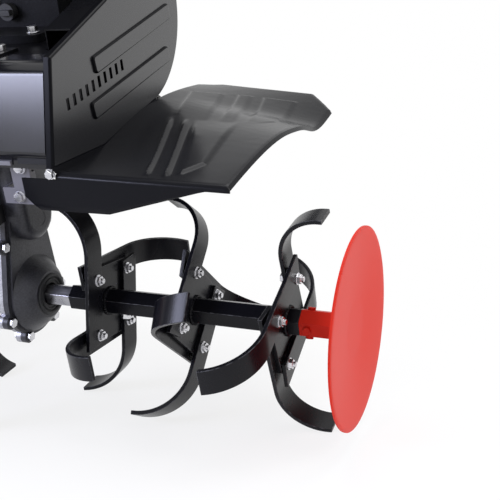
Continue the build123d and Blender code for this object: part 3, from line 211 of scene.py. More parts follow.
def newGroup(name, inputs, outputs):
    tree = bpy.data.node_groups.new(name, "ShaderNodeTree")
    for label, kind in inputs.items():
        tree.interface.new_socket(label, in_out="INPUT", socket_type=kind)
    for label, kind in outputs.items():
        tree.interface.new_socket(label, in_out="OUTPUT", socket_type=kind)
    return tree, tree.nodes.new("NodeGroupInput"), tree.nodes.new("NodeGroupOutput")


def noiseNode(tree, vector, scale, detail, rough=0.5):
    node = tree.nodes.new("ShaderNodeTexNoise")
    node.inputs["Detail"].default_value = detail
    node.inputs["Roughness"].default_value = rough
    tree.links.new(vector, node.inputs["Vector"])
    if isinstance(scale, (int, float)):
        node.inputs["Scale"].default_value = scale
    else:
        tree.links.new(scale, node.inputs["Scale"])
    return node.outputs["Fac"]


def rampNode(tree, value, low, high, outLow=0.0, outHigh=1.0):
    node = tree.nodes.new("ShaderNodeMapRange")
    node.inputs["From Min"].default_value = low
    node.inputs["From Max"].default_value = high
    node.inputs["To Min"].default_value = outLow
    node.inputs["To Max"].default_value = outHigh
    tree.links.new(value, node.inputs["Value"])
    return node.outputs["Result"]


def mixColour(tree, share, first, second):
    # in colour mode the node's factor is input 0, its colours are inputs 6 and 7 and its result is output 2
    node = tree.nodes.new("ShaderNodeMix")
    node.data_type = "RGBA"
    for number, value in ((0, share), (6, first), (7, second)):
        tree.links.new(value, node.inputs[number])
    return node.outputs[2]


floatSocket, colourSocket, vectorSocket = "NodeSocketFloat", "NodeSocketColor", "NodeSocketVector"
skinOutputs = {"Colour": colourSocket, "Roughness": floatSocket, "Height": floatSocket}
metalInputs = {"Vector": vectorSocket, "Light": colourSocket, "Dark": colourSocket, "Scale": floatSocket,
               "Roughness": floatSocket}

filmSetup = {
    # a noise is its scale, detail and roughness, the last one left out where it is the usual half
    "drift": (9.0, 4.0),
    "driftRange": (0.3, 0.7),
    "driftGloss": (-0.012, 0.015),
    "specks": (260.0, 4.0, 0.7),
    "speckRange": (0.62, 0.8),
    "peelDetail": 2.0,
    "peelStrength": 0.25,
    "coatRoughness": 0.12,
}


def makePaintFilm():
    # sprayed film: orange peel, slow tone drift and a faint dust bloom
    tree, start, end = newGroup(
        "paintFilm",
        {"Vector": vectorSocket, "Colour": colourSocket, "Bloom": colourSocket, "Bloom Share": floatSocket,
         "Roughness": floatSocket, "Peel Scale": floatSocket},
        skinOutputs)
    vector = start.outputs["Vector"]
    peel = noiseNode(tree, vector, start.outputs["Peel Scale"], filmSetup["peelDetail"])
    drift = rampNode(tree, noiseNode(tree, vector, *filmSetup["drift"]), *filmSetup["driftRange"])
    specks = rampNode(tree, noiseNode(tree, vector, *filmSetup["specks"]), *filmSetup["speckRange"])
    share = mathNode(tree, "MULTIPLY", mathNode(tree, "ADD", drift, specks), start.outputs["Bloom Share"])
    tone = mixColour(tree, share, start.outputs["Colour"], start.outputs["Bloom"])
    tree.links.new(tone, end.inputs["Colour"])
    uneven = rampNode(tree, drift, 0, 1, *filmSetup["driftGloss"])
    rough = mathNode(tree, "ADD", start.outputs["Roughness"], uneven)
    tree.links.new(rough, end.inputs["Roughness"])
    tree.links.new(peel, end.inputs["Height"])
    return tree


castSetup = {
    "pebble": (5.0, 0.6),  # detail and roughness, the scale is the finish's own
    "stain": (16.0, 4.0),
    "stainRange": (0.3, 0.7),
    "stainGloss": (0.06, -0.06),
    "pebbleShare": 0.6,
    "stainShare": 0.4,
    "toneRange": (0.36, 0.62),
    "bumpStrength": 0.5,
}


def makeCastGrain():
    # sand-cast skin: pebbled height, darker pits and brighter high spots
    tree, start, end = newGroup("castGrain", metalInputs, skinOutputs)
    vector = start.outputs["Vector"]
    pebble = noiseNode(tree, vector, start.outputs["Scale"], *castSetup["pebble"])
    stain = noiseNode(tree, vector, *castSetup["stain"])
    blend = mathNode(tree, "ADD", mathNode(tree, "MULTIPLY", pebble, castSetup["pebbleShare"]),
                     mathNode(tree, "MULTIPLY", stain, castSetup["stainShare"]))
    share = rampNode(tree, blend, *castSetup["toneRange"])
    tone = mixColour(tree, share, start.outputs["Dark"], start.outputs["Light"])
    tree.links.new(tone, end.inputs["Colour"])
    uneven = rampNode(tree, stain, *castSetup["stainRange"], *castSetup["stainGloss"])
    rough = mathNode(tree, "ADD", start.outputs["Roughness"], uneven)
    tree.links.new(rough, end.inputs["Roughness"])
    tree.links.new(pebble, end.inputs["Height"])
    return tree


steelSetup = {
    "stretch": (1.0, 0.06, 1.0),
    "lineDetail": 3.0,
    "cloud": (60.0, 4.0),
    "cloudRange": (0.3, 0.7),
    "cloudGloss": (-0.07, 0.08),
    "lineShare": 0.5,
    "cloudShare": 0.5,
    "toneRange": (0.35, 0.65),
    "bump": (0.15, 0.0002),  # strength and depth
}


def makeTurnedSteel():
    # drawn or plated steel: fine lines along one axis with a cloudy tone
    tree, start, end = newGroup("turnedSteel", metalInputs, skinOutputs)
    squeeze = tree.nodes.new("ShaderNodeVectorMath")
    squeeze.operation = "MULTIPLY"
    squeeze.inputs[1].default_value = steelSetup["stretch"]
    tree.links.new(start.outputs["Vector"], squeeze.inputs[0])
    lines = noiseNode(tree, squeeze.outputs[0], start.outputs["Scale"], steelSetup["lineDetail"])
    cloud = noiseNode(tree, start.outputs["Vector"], *steelSetup["cloud"])
    blend = mathNode(tree, "ADD", mathNode(tree, "MULTIPLY", lines, steelSetup["lineShare"]),
                     mathNode(tree, "MULTIPLY", cloud, steelSetup["cloudShare"]))
    share = rampNode(tree, blend, *steelSetup["toneRange"])
    tone = mixColour(tree, share, start.outputs["Dark"], start.outputs["Light"])
    tree.links.new(tone, end.inputs["Colour"])
    uneven = rampNode(tree, cloud, *steelSetup["cloudRange"], *steelSetup["cloudGloss"])
    rough = mathNode(tree, "ADD", start.outputs["Roughness"], uneven)
    tree.links.new(rough, end.inputs["Roughness"])
    tree.links.new(lines, end.inputs["Height"])
    return tree


edgeHighlightSetup = {"patches": (120.0, 4.0, 0.65), "patchRange": (0.4, 0.62)}


def makePaintedEdgeHighlight():
    # painted highlight: lighter colour in broken patches on the eased edges, standing in for the light they
    # catch
    tree, start, end = newGroup(
        "paintedEdgeHighlight",
        {"Vector": vectorSocket, "Edge": floatSocket, "Colour": colourSocket, "Highlight": colourSocket,
         "Amount": floatSocket},
        {"Colour": colourSocket})
    patches = noiseNode(tree, start.outputs["Vector"], *edgeHighlightSetup["patches"])
    broken = rampNode(tree, patches, *edgeHighlightSetup["patchRange"])
    onEdge = mathNode(tree, "MULTIPLY", start.outputs["Edge"], broken)
    mask = mathNode(tree, "MULTIPLY", onEdge, start.outputs["Amount"])
    tone = mixColour(tree, mask, start.outputs["Colour"], start.outputs["Highlight"])
    tree.links.new(tone, end.inputs["Colour"])
    return tree


paintFilm = makePaintFilm()
castGrain = makeCastGrain()
turnedSteel = makeTurnedSteel()
paintedEdgeHighlight = makePaintedEdgeHighlight()

easedEdge = "easedEdge"  # face attribute, 1 on the small faces that ease a sharp edge


def placeGroup(tree, group, vector, values):
    node = tree.nodes.new("ShaderNodeGroup")
    node.node_tree = group
    tree.links.new(vector, node.inputs["Vector"])
    for label, value in values.items():
        node.inputs[label].default_value = value
    return node


def startFinish(name):
    material = bpy.data.materials.new(name)
    material.use_nodes = True
    tree = material.node_tree
    shader = tree.nodes["Principled BSDF"]
    vector = tree.nodes.new("ShaderNodeTexCoord").outputs["Object"]
    return material, tree, shader, vector


def bumpInto(tree, shader, height, strength, distance):
    bump = tree.nodes.new("ShaderNodeBump")
    bump.inputs["Strength"].default_value = strength
    bump.inputs["Distance"].default_value = distance
    tree.links.new(height, bump.inputs["Height"])
    tree.links.new(bump.outputs["Normal"], shader.inputs["Normal"])


def paintFinish(name, colour, bloom, bloomShare, rough, peelScale, peelDepth, coat=0.0, edgeHighlightColour=None,
                edgeHighlightShare=0.3, gloss=0.5):
    material, tree, shader, vector = startFinish(name)
    film = placeGroup(tree, paintFilm, vector, {
        "Colour": colour, "Bloom": bloom, "Bloom Share": bloomShare, "Roughness": rough,
        "Peel Scale": peelScale})
    tone = film.outputs["Colour"]
    # painted highlight on the eased edges, in broken patches
    if edgeHighlightColour:
        highlighted = placeGroup(tree, paintedEdgeHighlight, vector, {"Highlight": edgeHighlightColour, "Amount": edgeHighlightShare})
        eased = tree.nodes.new("ShaderNodeAttribute")
        eased.attribute_name = easedEdge
        tree.links.new(eased.outputs["Fac"], highlighted.inputs["Edge"])
        tree.links.new(tone, highlighted.inputs["Colour"])
        tone = highlighted.outputs["Colour"]
    tree.links.new(tone, shader.inputs["Base Color"])
    tree.links.new(film.outputs["Roughness"], shader.inputs["Roughness"])
    shader.inputs["Specular IOR Level"].default_value = gloss
    shader.inputs["Coat Weight"].default_value = coat
    shader.inputs["Coat Roughness"].default_value = filmSetup["coatRoughness"]
    bumpInto(tree, shader, film.outputs["Height"], filmSetup["peelStrength"], peelDepth)
    return material


def castFinish(name, light, dark, scale, rough, metallic, depth, gloss=0.5):
    material, tree, shader, vector = startFinish(name)
    skin = placeGroup(tree, castGrain, vector, {
        "Light": light, "Dark": dark, "Scale": scale, "Roughness": rough})
    tree.links.new(skin.outputs["Colour"], shader.inputs["Base Color"])
    tree.links.new(skin.outputs["Roughness"], shader.inputs["Roughness"])
    shader.inputs["Metallic"].default_value = metallic
    shader.inputs["Specular IOR Level"].default_value = gloss
    bumpInto(tree, shader, skin.outputs["Height"], castSetup["bumpStrength"], depth)
    return material


def steelFinish(name, light, dark, scale, rough, metallic=1.0):
    material, tree, shader, vector = startFinish(name)
    skin = placeGroup(tree, turnedSteel, vector, {
        "Light": light, "Dark": dark, "Scale": scale, "Roughness": rough})
    tree.links.new(skin.outputs["Colour"], shader.inputs["Base Color"])
    tree.links.new(skin.outputs["Roughness"], shader.inputs["Roughness"])
    shader.inputs["Metallic"].default_value = metallic
    bumpInto(tree, shader, skin.outputs["Height"], *steelSetup["bump"])
    return material


# the lighter edge colours given below are painted highlights on the eased edges
finishes = {
    "black_paint": paintFinish(
        "satinBlackPaint", colour=(0.003, 0.0031, 0.0042, 1), bloom=(0.16, 0.16, 0.175, 1), bloomShare=0.006,
        rough=0.28, peelScale=520.0, peelDepth=0.0001, edgeHighlightColour=(0.09, 0.09, 0.1, 1), edgeHighlightShare=0.25, gloss=0.2),
    "tine_paint": paintFinish(
        "tineBlackPaint", colour=(0.005, 0.005, 0.0072, 1), bloom=(0.2, 0.2, 0.21, 1), bloomShare=0.008,
        rough=0.27, peelScale=460.0, peelDepth=0.0003, edgeHighlightColour=(0.2, 0.2, 0.21, 1), edgeHighlightShare=0.4, gloss=0.18),
    "disc_paint": paintFinish(
        "discRedPaint", colour=(0.62, 0.028, 0.015, 1), bloom=(0.8, 0.2, 0.15, 1), bloomShare=0.01,
        rough=0.34, peelScale=420.0, peelDepth=0.0002, edgeHighlightColour=(0.8, 0.16, 0.1, 1), edgeHighlightShare=0.3, gloss=0.05),
    "zinc": steelFinish(
        "brightZinc", light=(0.78, 0.78, 0.80, 1), dark=(0.5, 0.5, 0.53, 1), scale=700.0, rough=0.26),
    "steel": steelFinish(
        "drawnSteel", light=(0.5, 0.5, 0.53, 1), dark=(0.26, 0.26, 0.29, 1), scale=900.0, rough=0.3),
    "pulley_iron": castFinish(
        "pulleyIron", light=(0.2, 0.2, 0.21, 1), dark=(0.1, 0.1, 0.11, 1), scale=420.0, rough=0.45,
        metallic=0.8, depth=0.0003),
    "dark_casting": castFinish(
        "darkCasting", light=(0.05, 0.05, 0.058, 1), dark=(0.018, 0.018, 0.022, 1), scale=380.0, rough=0.42,
        metallic=0.2, depth=0.0004),
    "bare_casting": castFinish(
        "bareAluminium", light=(0.55, 0.55, 0.58, 1), dark=(0.27, 0.27, 0.3, 1), scale=340.0, rough=0.4,
        metallic=0.75, depth=0.0004),
    "bracket_grey": paintFinish(
        "bracketGreyPaint", colour=(0.16, 0.155, 0.17, 1), bloom=(0.4, 0.4, 0.42, 1), bloomShare=0.06,
        rough=0.42, peelScale=480.0, peelDepth=0.0002),
    "rubber": castFinish(
        "blackRubber", light=(0.022, 0.022, 0.024, 1), dark=(0.01, 0.01, 0.011, 1), scale=500.0, rough=0.6,
        metallic=0.0, depth=0.0002),
    "wheel_rubber": castFinish(
        "tyreRubber", light=(0.03, 0.03, 0.03, 1), dark=(0.014, 0.014, 0.015, 1), scale=420.0, rough=0.68,
        metallic=0.0, depth=0.0003),
    "handle_paint": paintFinish(
        "handleBlackPaint", colour=(0.006, 0.006, 0.007, 1), bloom=(0.2, 0.2, 0.21, 1), bloomShare=0.015,
        rough=0.32, peelScale=500.0, peelDepth=0.0002, edgeHighlightColour=(0.15, 0.15, 0.16, 1), edgeHighlightShare=0.2),
    "black_plastic": castFinish(
        "mouldedPlastic", light=(0.02, 0.02, 0.022, 1), dark=(0.011, 0.011, 0.012, 1), scale=900.0, rough=0.5,
        metallic=0.0, depth=0.00012),
    "tank_paint": paintFinish(
        "tankBlackPaint", colour=(0.006, 0.006, 0.008, 1), bloom=(0.2, 0.2, 0.22, 1), bloomShare=0.012,
        rough=0.2, peelScale=420.0, peelDepth=0.0001, coat=0.5),
    "muffler_steel": steelFinish(
        "mufflerSteel", light=(0.4, 0.39, 0.38, 1), dark=(0.2, 0.19, 0.18, 1), scale=500.0, rough=0.42),
    "plug_white": castFinish(
        "plugCapRubber", light=(0.02, 0.02, 0.022, 1), dark=(0.01, 0.01, 0.011, 1), scale=600.0, rough=0.5,
        metallic=0.0, depth=0.0001),
}

# nodes whose paint or casting differs a little from the rest of their slot, the crankcase's near-black finish
# being painted shade and the cover's the darker copy of its paint
nodeFinish = {
    # the darker, duller copy of the cover's black paint, for its edges and every face but the right-facing
    # ones
    "belt_cover": paintFinish(
        "coverShadedEdgePaint", colour=(0.003, 0.0031, 0.0042, 1), bloom=(0.16, 0.16, 0.175, 1), bloomShare=0.005,
        rough=0.3, peelScale=520.0, peelDepth=0.00006, edgeHighlightColour=(0.14, 0.14, 0.15, 1), edgeHighlightShare=0.3, gloss=0.06),
    "engine_frame": paintFinish(
        "deckBlackPaint", colour=(0.003, 0.003, 0.004, 1), bloom=(0.16, 0.16, 0.19, 1), bloomShare=0.006,
        rough=0.34, peelScale=520.0, peelDepth=0.00005, edgeHighlightColour=(0.14, 0.14, 0.15, 1), edgeHighlightShare=0.3, gloss=0.06),
    # painted shade: the bare-cast crankcase is made near-black and dull to stand in for the deep shadow its
    # corner lies in
    "crankcase": castFinish(
        "crankcaseShadeDark", light=(0.012, 0.012, 0.014, 1), dark=(0.005, 0.005, 0.006, 1), scale=340.0,
        rough=0.45, metallic=0.0, depth=0.0004, gloss=0.1),
}
nodeFinish["disc_pins"] = finishes["disc_paint"]  # painted together with the discs
# painted sheen: the cover's right-facing faces take this lighter, far glossier copy of its black paint
coverLitFace = paintFinish(
    "coverLitFacePaint", colour=(0.0065, 0.0066, 0.0085, 1), bloom=(0.16, 0.16, 0.175, 1), bloomShare=0.006,
    rough=0.24, peelScale=520.0, peelDepth=0.00006, gloss=1.0)
guardPaint = paintFinish(
    "guardBlackPaint", colour=(0.0060, 0.0061, 0.0078, 1), bloom=(0.16, 0.16, 0.175, 1), bloomShare=0.005,
    rough=0.22, peelScale=520.0, peelDepth=0.00005, gloss=0.09)
wallPaint = paintFinish(
    "frameBlackPaint", colour=(0.004, 0.004, 0.006, 1), bloom=(0.16, 0.16, 0.19, 1), bloomShare=0.008,
    rough=0.2, peelScale=520.0, peelDepth=0.00004, gloss=0.5)
print("finishes ready")


# places are given in millimetres about the tine shaft, before the machine leans back on its spur, and
# the sizes of most small solids and sheets in metres

leanBack = math.radians(14.0)


def spot(x, y, z):
    cos, sin = math.cos(leanBack), math.sin(leanBack)
    return shaftMiddle + Vector((x * cos - z * sin, y, x * sin + z * cos)) / 1000


def heading(x, y, z):
    return (spot(x, y, z) - spot(0, 0, 0)).normalized()


backward, upward, leftward = heading(-1, 0, 0), heading(0, 0, 1), heading(0, 1, 0)


# every node but the discs and mudguards, which are made again below, gets a cleaned copy of its CAD mesh
# with eased edges and its own finish

slotOfNode = {entry["node"]: entry["material_slot"] for entry in frame["record"]["subparts"]}

edgeSetup = {
    "width": 0.0006,
    "nodeWidth": {"engine_frame": 0.0010, "tine_blades_right": 0.0008, "tine_blades_left": 0.0008},
    "sharpAngle": 32.0,
    "smoothAngle": 34.0,
    "flatAngle": 0.6,
    "merge": 0.000004,
}


def finishMesh(bm, name, slot, body, finish=None):
    mesh = bpy.data.meshes.new(name)
    for face in bm.faces:
        face.smooth = True
    bm.to_mesh(mesh)
    bm.free()
    mesh.set_sharp_from_angle(angle=math.radians(edgeSetup["smoothAngle"]))
    piece = bpy.data.objects.new(name, mesh)
    scene.collection.objects.link(piece)
    mesh.materials.append(finish or finishes[slot])
    weigh = piece.modifiers.new("flatFaces", "WEIGHTED_NORMAL")
    weigh.keep_sharp = True
    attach(piece, body)
    return piece


wallSetup = {
    "right": -151.7,
    "left": 130.0,
    "sheet": 0.0016,
    "route": ((-14.0, 377.8), (-60.8, 377.8), (-93.6, 263.0), (-87.0, 255.0), (-88.5, 243.0)),
    "bends": (22.0, 9.0, 6.0),
    "bendSteps": 10,
    # lines that clear the CAD frame's corners for the bends
    "cuts": (((-62.0, 361.0), (-42.0, 377.0)), ((-70.0, 240.0), (-92.0, 268.0))),
}


def cutMesh(bm, place, outside, clear=False):
    geom = bm.verts[:] + bm.edges[:] + bm.faces[:]
    bmesh.ops.bisect_plane(bm, geom=geom, plane_co=place, plane_no=outside, clear_outer=clear)


def trimFrame(bm):
    for (x0, z0), (x1, z1) in wallSetup["cuts"]:
        cutMesh(bm, spot(x0, 0, z0), heading(z0 - z1, 0, x1 - x0), clear=True)
        bmesh.ops.holes_fill(bm, edges=[edge for edge in bm.edges if edge.is_boundary], sides=0)


def easedCopy(node):
    bm = bmesh.new()
    bm.from_mesh(frame["nodes"][node].data)
    bmesh.ops.remove_doubles(bm, verts=bm.verts, dist=edgeSetup["merge"])
    flat = math.radians(edgeSetup["flatAngle"])
    bmesh.ops.dissolve_limit(bm, angle_limit=flat, verts=bm.verts, edges=bm.edges)
    eased = bm.faces.layers.float.new(easedEdge)
    width = edgeSetup["nodeWidth"].get(node, edgeSetup["width"])
    limit = math.radians(edgeSetup["sharpAngle"])
    sharp = [edge for edge in bm.edges if edge.is_manifold and edge.calc_face_angle() > limit]
    made = bmesh.ops.bevel(bm, geom=sharp, offset=width, offset_type="OFFSET", segments=2, profile=0.5,
                           affect="EDGES", clamp_overlap=True, material=-1)
    for face in made["faces"]:
        face[eased] = 1.0
    return bm


slackSetup = {"depth": 0.0088, "reach": 0.070, "cuts": 16}


def slackBelt(bm):
    # the idle belt bows in at the roller, which leaves room for the roller to swing in
    joints = frame["record"]["behaviour"]["joints"]
    centre = {joint["name"]: Vector(joint["pos_m"]) for joint in joints if "pos_m" in joint}
    low, roller = centre["input_spin"], centre["idler_spin"]
    run = (centre["crank_spin"] - low).normalized()
    along = (roller - low).dot(run)
    outside = (roller - low - run * along).normalized()
    reach = slackSetup["reach"]
    for number in range(slackSetup["cuts"] + 1):
        cutMesh(bm, low + run * (along + reach * (2 * number / slackSetup["cuts"] - 1)), run)
    for vert in bm.verts:
        off = (vert.co - low).dot(run) - along
        if abs(off) < reach and (vert.co - low).dot(outside) > 0:
            vert.co -= outside * slackSetup["depth"] * math.cos(math.pi / 2 * off / reach) ** 2


# faces past this turn get the lighter, glossier copy of the cover's paint, a painted sheen
coverTurn = -0.97  # cover faces that look to the right at least this squarely take the face paint


def dressNode(node):
    bm = easedCopy(node)
    if node == "drive_belt":
        slackBelt(bm)
    if node == "belt_cover":
        # right-facing faces take the lit copy of the paint, a painted sheen
        for face in bm.faces:
            face.material_index = int(face.normal.y < coverTurn)
    if node == "engine_frame":
        trimFrame(bm)
    piece = finishMesh(bm, node + "_dressed", slotOfNode[node], nodeBody[node], finish=nodeFinish.get(node))
    if node == "belt_cover":
        piece.data.materials.append(coverLitFace)
    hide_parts(node)


remade = ("plant_disc_right", "plant_disc_left", "mudguard_right", "mudguard_left")
for node in sorted(frame["nodes"]):
    if node not in remade:
        dressNode(node)
print("dressed", len(frame["nodes"]) - len(remade), "nodes")


def facing(place, axis, roll=0.0):
    turn = axis.to_track_quat("Z", "Y").to_matrix().to_4x4() @ Matrix.Rotation(math.radians(roll), 4, "Z")
    return Matrix.Translation(place) @ turn


def addPrism(bm, sides, radius, length, matrix):
    made = bmesh.ops.create_cone(bm, cap_ends=True, segments=sides, radius1=radius, radius2=radius,
                                 depth=length, matrix=matrix)
    return made["verts"]


def addRod(bm, start, end, radius, sides=24):
    axis = end - start
    addPrism(bm, sides, radius, axis.length, facing((start + end) / 2, axis.normalized()))


def edgesOf(verts):
    return list(dict.fromkeys(edge for vert in verts for edge in vert.link_edges))


def easeEdges(bm, edges, width):
    bmesh.ops.bevel(bm, geom=edges, offset=width, offset_type="OFFSET", segments=2, profile=0.5,
                    affect="EDGES", material=-1)


# shares of a head's height, then of its width across flats
headSetup = {"washer": 0.16, "crown": 0.9, "washerRadius": 0.66, "chamfer": 0.09}


def addHexHead(bm, place, axis, width, height, roll=0.0):
    # six-sided head with a chamfered crown, on its washer
    low = height * headSetup["washer"]
    addRod(bm, place, place + axis * low, width * headSetup["washerRadius"])
    verts = addPrism(bm, 6, width / math.sqrt(3), height - low,
                     facing(place + axis * (height + low) / 2, axis, roll))
    crown = height * headSetup["crown"]
    top = [edge for edge in edgesOf(verts)
           if all((vert.co - place).dot(axis) > crown for vert in edge.verts)]
    easeEdges(bm, top, width * headSetup["chamfer"])


def addRing(bm, centre, axis, radius, thick, steps, sides=8):
    # round ring, a small circle spun about an axis
    side = axis.orthogonal().normalized()
    start = Matrix.Translation(centre + side * radius) @ axesMatrix(side, axis, side.cross(axis))
    verts = bmesh.ops.create_circle(bm, segments=sides, radius=thick, matrix=start)["verts"]
    bmesh.ops.spin(bm, geom=verts + edgesOf(verts), cent=centre, axis=axis, angle=2 * math.pi, steps=steps,
                   use_merge=True)


def addBlock(bm, place, size, turn, width):
    matrix = Matrix.Translation(place) @ turn @ Matrix.Diagonal((*size, 1.0))
    easeEdges(bm, edgesOf(bmesh.ops.create_cube(bm, size=1.0, matrix=matrix)["verts"]), width)


closeGap = 0.000005


def closeUp(bm):
    bmesh.ops.remove_doubles(bm, verts=bm.verts, dist=closeGap)
    bmesh.ops.recalc_face_normals(bm, faces=bm.faces)


# plant discs: one smooth pressed dish with a turned rim, on a hexagon stub

discSetup = {
    # lengths are millimetres, but metres for the stub's eased edges and its weld
    "hubFace": 530.0,
    "rimFace": 537.0,
    "radius": 140.0,
    "dish": ((0.0, 0.0), (0.25, 0.0), (0.33, 0.07), (0.5, 0.3), (0.7, 0.62), (0.88, 0.9), (0.955, 1.0),
             (0.985, 1.0)),  # shares of the radius and of the rise from hub to rim
    "sheet": 2.5,
    "rim": 3.2,
    "rimRound": 0.7,
    "rimWall": 1.6,
    "rimWallFrom": 60.0,
    "steps": 120,
    "stubStart": 455.4,
    "stubFlats": 36.0,
    "stubTurn": 33.8,
    "stubEase": 0.0008,
    "weldInset": 0.0012,
    "weldRadius": 0.0198,
    "weldBead": 0.0024,
    "weldSteps": 60,
}


def addDisc(name, side):
    setup = discSetup
    bm = bmesh.new()
    rise = setup["rimFace"] - setup["hubFace"]
    outer = [(share * setup["radius"], setup["hubFace"] + lift * rise) for share, lift in setup["dish"]]
    rim = [(setup["radius"], setup["rimFace"] - setup[key]) for key in ("rimRound", "rim")]
    inner = [(radius - (setup["rimWall"] if radius > setup["rimWallFrom"] else 0.0), out - setup["sheet"])
             for radius, out in reversed(outer)]
    verts = [bm.verts.new(spot(0, side * out, radius)) for radius, out in outer + rim + inner]
    edges = [bm.edges.new(pair) for pair in zip(verts, verts[1:])]
    bmesh.ops.spin(bm, geom=verts + edges, cent=spot(0, 0, 0), axis=leftward, angle=2 * math.pi,
                   steps=setup["steps"], use_merge=True)
    corner = setup["stubFlats"] / math.sqrt(3) / 1000
    start = spot(0, side * setup["stubStart"], 0)
    end = spot(0, side * (setup["hubFace"] - setup["sheet"]), 0)
    stubTurn = math.radians(setup["stubTurn"])
    ahead = heading(math.cos(stubTurn), 0, math.sin(stubTurn))
    across = leftward.cross(ahead)
    turn = axesMatrix(ahead, across, ahead.cross(across))
    stub = addPrism(bm, 6, corner, (end - start).length, Matrix.Translation((start + end) / 2) @ turn)
    # the prism's first corner lies on its local Y, so the stub is rolled on to the shaft's corner
    quarter = Matrix.Rotation(math.radians(90), 3, leftward)
    bmesh.ops.rotate(bm, verts=stub, cent=start, matrix=quarter)
    easeEdges(bm, edgesOf(stub), setup["stubEase"])
    closeUp(bm)
    weld = end - (end - start).normalized() * setup["weldInset"]
    addRing(bm, weld, leftward, setup["weldRadius"], setup["weldBead"], setup["weldSteps"])
    piece = finishMesh(bm, name + "_dished", "disc_paint", "tines")
    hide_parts(name)


addDisc("plant_disc_right", -1)
addDisc("plant_disc_left", 1)
print("plant discs made")


# rippled weld beads where the rotor plates sit on the hexagon tubes

rotorPlates = (144.0, 288.0, 432.0)

weldSetup = {
    "plateHalf": 3.0,  # millimetres, as the stand of the bead off the plate
    "stand": 1.2,
    "ringRadius": 0.0196,  # metres, as the bead
    "bead": 0.0027,
    "steps": 120,
    "ripples": 30,
    "rippleDepth": 0.16,
}


def addWelds(name, side):
    setup = weldSetup
    bm = bmesh.new()
    for plate in rotorPlates:
        for face in (-1, 1):
            centre = spot(0, side * plate + face * (setup["plateHalf"] + setup["stand"]), 0)
            before = set(bm.verts)
            addRing(bm, centre, leftward, setup["ringRadius"], setup["bead"], setup["steps"])
            for vert in set(bm.verts) - before:
                arm = vert.co - centre
                radial = (arm - leftward * arm.dot(leftward)).normalized()
                core = centre + radial * setup["ringRadius"]
                angle = math.atan2(radial.dot(upward), radial.dot(backward))
                swell = 1 + setup["rippleDepth"] * math.sin(setup["ripples"] * angle + plate)
                vert.co = core + (vert.co - core) * swell
    closeUp(bm)
    finishMesh(bm, name, "tine_paint", "tines")


addWelds("welds_right", -1)
addWelds("welds_left", 1)
print("welds made")


# rubber on the wheel and the grips

tyreSetup = {
    "centre": (400.0, 0.0, 115.0),
    "radius": 100.0,
    "count": 22,
    "lug": (0.015, 0.019, 0.006),
    "lugEase": 0.0012,
    "sink": 0.001,
    "slant": 24.0,
    "row": 10.0,
    "stagger": 0.25,
}


def addTyreLugs():
    setup = tyreSetup
    bm = bmesh.new()
    x, y, z = setup["centre"]
    for number in range(setup["count"]):
        for row in (-1, 1):
            angle = 2 * math.pi * (number + setup["stagger"] * row) / setup["count"]
            out = heading(math.cos(angle), 0, math.sin(angle))
            place = spot(x, y + row * setup["row"], z) + out * (setup["radius"] / 1000 - setup["sink"])
            along = leftward.cross(out)
            slant = Matrix.Rotation(math.radians(setup["slant"] * row), 4, "Z")
            turn = axesMatrix(along, leftward, out) @ slant
            addBlock(bm, place, setup["lug"], turn, setup["lugEase"])
    finishMesh(bm, "tyre_lugs", "wheel_rubber", "wheel")


gripSetup = {
    "end": (-820.0, 235.0, 862.0),
    "bend": (-330.0, 235.0, 572.0),
    "radius": 0.0178,
    "ribs": 16,
    "pitch": 0.0066,
    "first": 0.010,
    "thick": 0.0013,
    "collarAt": 0.122,  # collar at the inner end
    "collarRise": 0.0008,
    "collarThick": 0.0024,
    "steps": 36,
}


def addGripRibs(name, side):
    setup = gripSetup
    bm = bmesh.new()
    end = spot(setup["end"][0], side * setup["end"][1], setup["end"][2])
    bend = spot(setup["bend"][0], side * setup["bend"][1], setup["bend"][2])
    run = (bend - end).normalized()
    for number in range(setup["ribs"]):
        place = end + run * (setup["first"] + setup["pitch"] * number)
        addRing(bm, place, run, setup["radius"], setup["thick"], setup["steps"])
    collar = end + run * setup["collarAt"]
    addRing(bm, collar, run, setup["radius"] + setup["collarRise"], setup["collarThick"], setup["steps"])
    finishMesh(bm, name, "rubber", "handle")


addTyreLugs()
addGripRibs("grip_ribs_right", -1)
addGripRibs("grip_ribs_left", 1)
print("rubber made")


# bolts, nuts and screws that the frame pieces carry

fanScrews = {"centre": (225.0, 123.8, 455.0), "radius": 36.0, "turns": (0.8, 2.37, 3.94, 5.51)}


def aroundFan(turn):
    x, y, z = fanScrews["centre"]
    return x + fanScrews["radius"] * math.cos(turn), y, z + fanScrews["radius"] * math.sin(turn)


boltSetup = {
    # width across flats and height in metres, then each head's place and the way it faces
    "bracket_bolts": (0.013, 0.007, (
        ((-56.0, -68.0, 188.0), (-1, 0, 0)),
        ((-56.0, 68.0, 188.0), (-1, 0, 0)),
        ((-56.0, -78.0, 231.0), (-1, 0, 0)),
        ((-56.0, 78.0, 231.0), (-1, 0, 0)))),
    "pivot_nuts": (0.022, 0.009, (
        ((-34.0, -32.2, 442.0), (0, -1, 0)),
        ((-34.0, 32.2, 442.0), (0, 1, 0)))),
    "fan_screws": (0.008, 0.0045, [(aroundFan(turn), (0, 1, 0)) for turn in fanScrews["turns"]]),
    "guard_bolts": (0.011, 0.006, (
        ((-97.5, -157.5, 240.5), (-1, 0, 0)),
        ((-97.5, 124.0, 240.5), (-1, 0, 0)))),
}
rollStep = 17.0  # each head of a group is turned this much further than the one before


def addBolts(name):
    width, height, heads = boltSetup[name]
    bm = bmesh.new()
    for number, (place, axis) in enumerate(heads):
        addHexHead(bm, spot(*place), heading(*axis), width, height, roll=rollStep * number)
    finishMesh(bm, name, "zinc", "frame")


for name in boltSetup:
    addBolts(name)

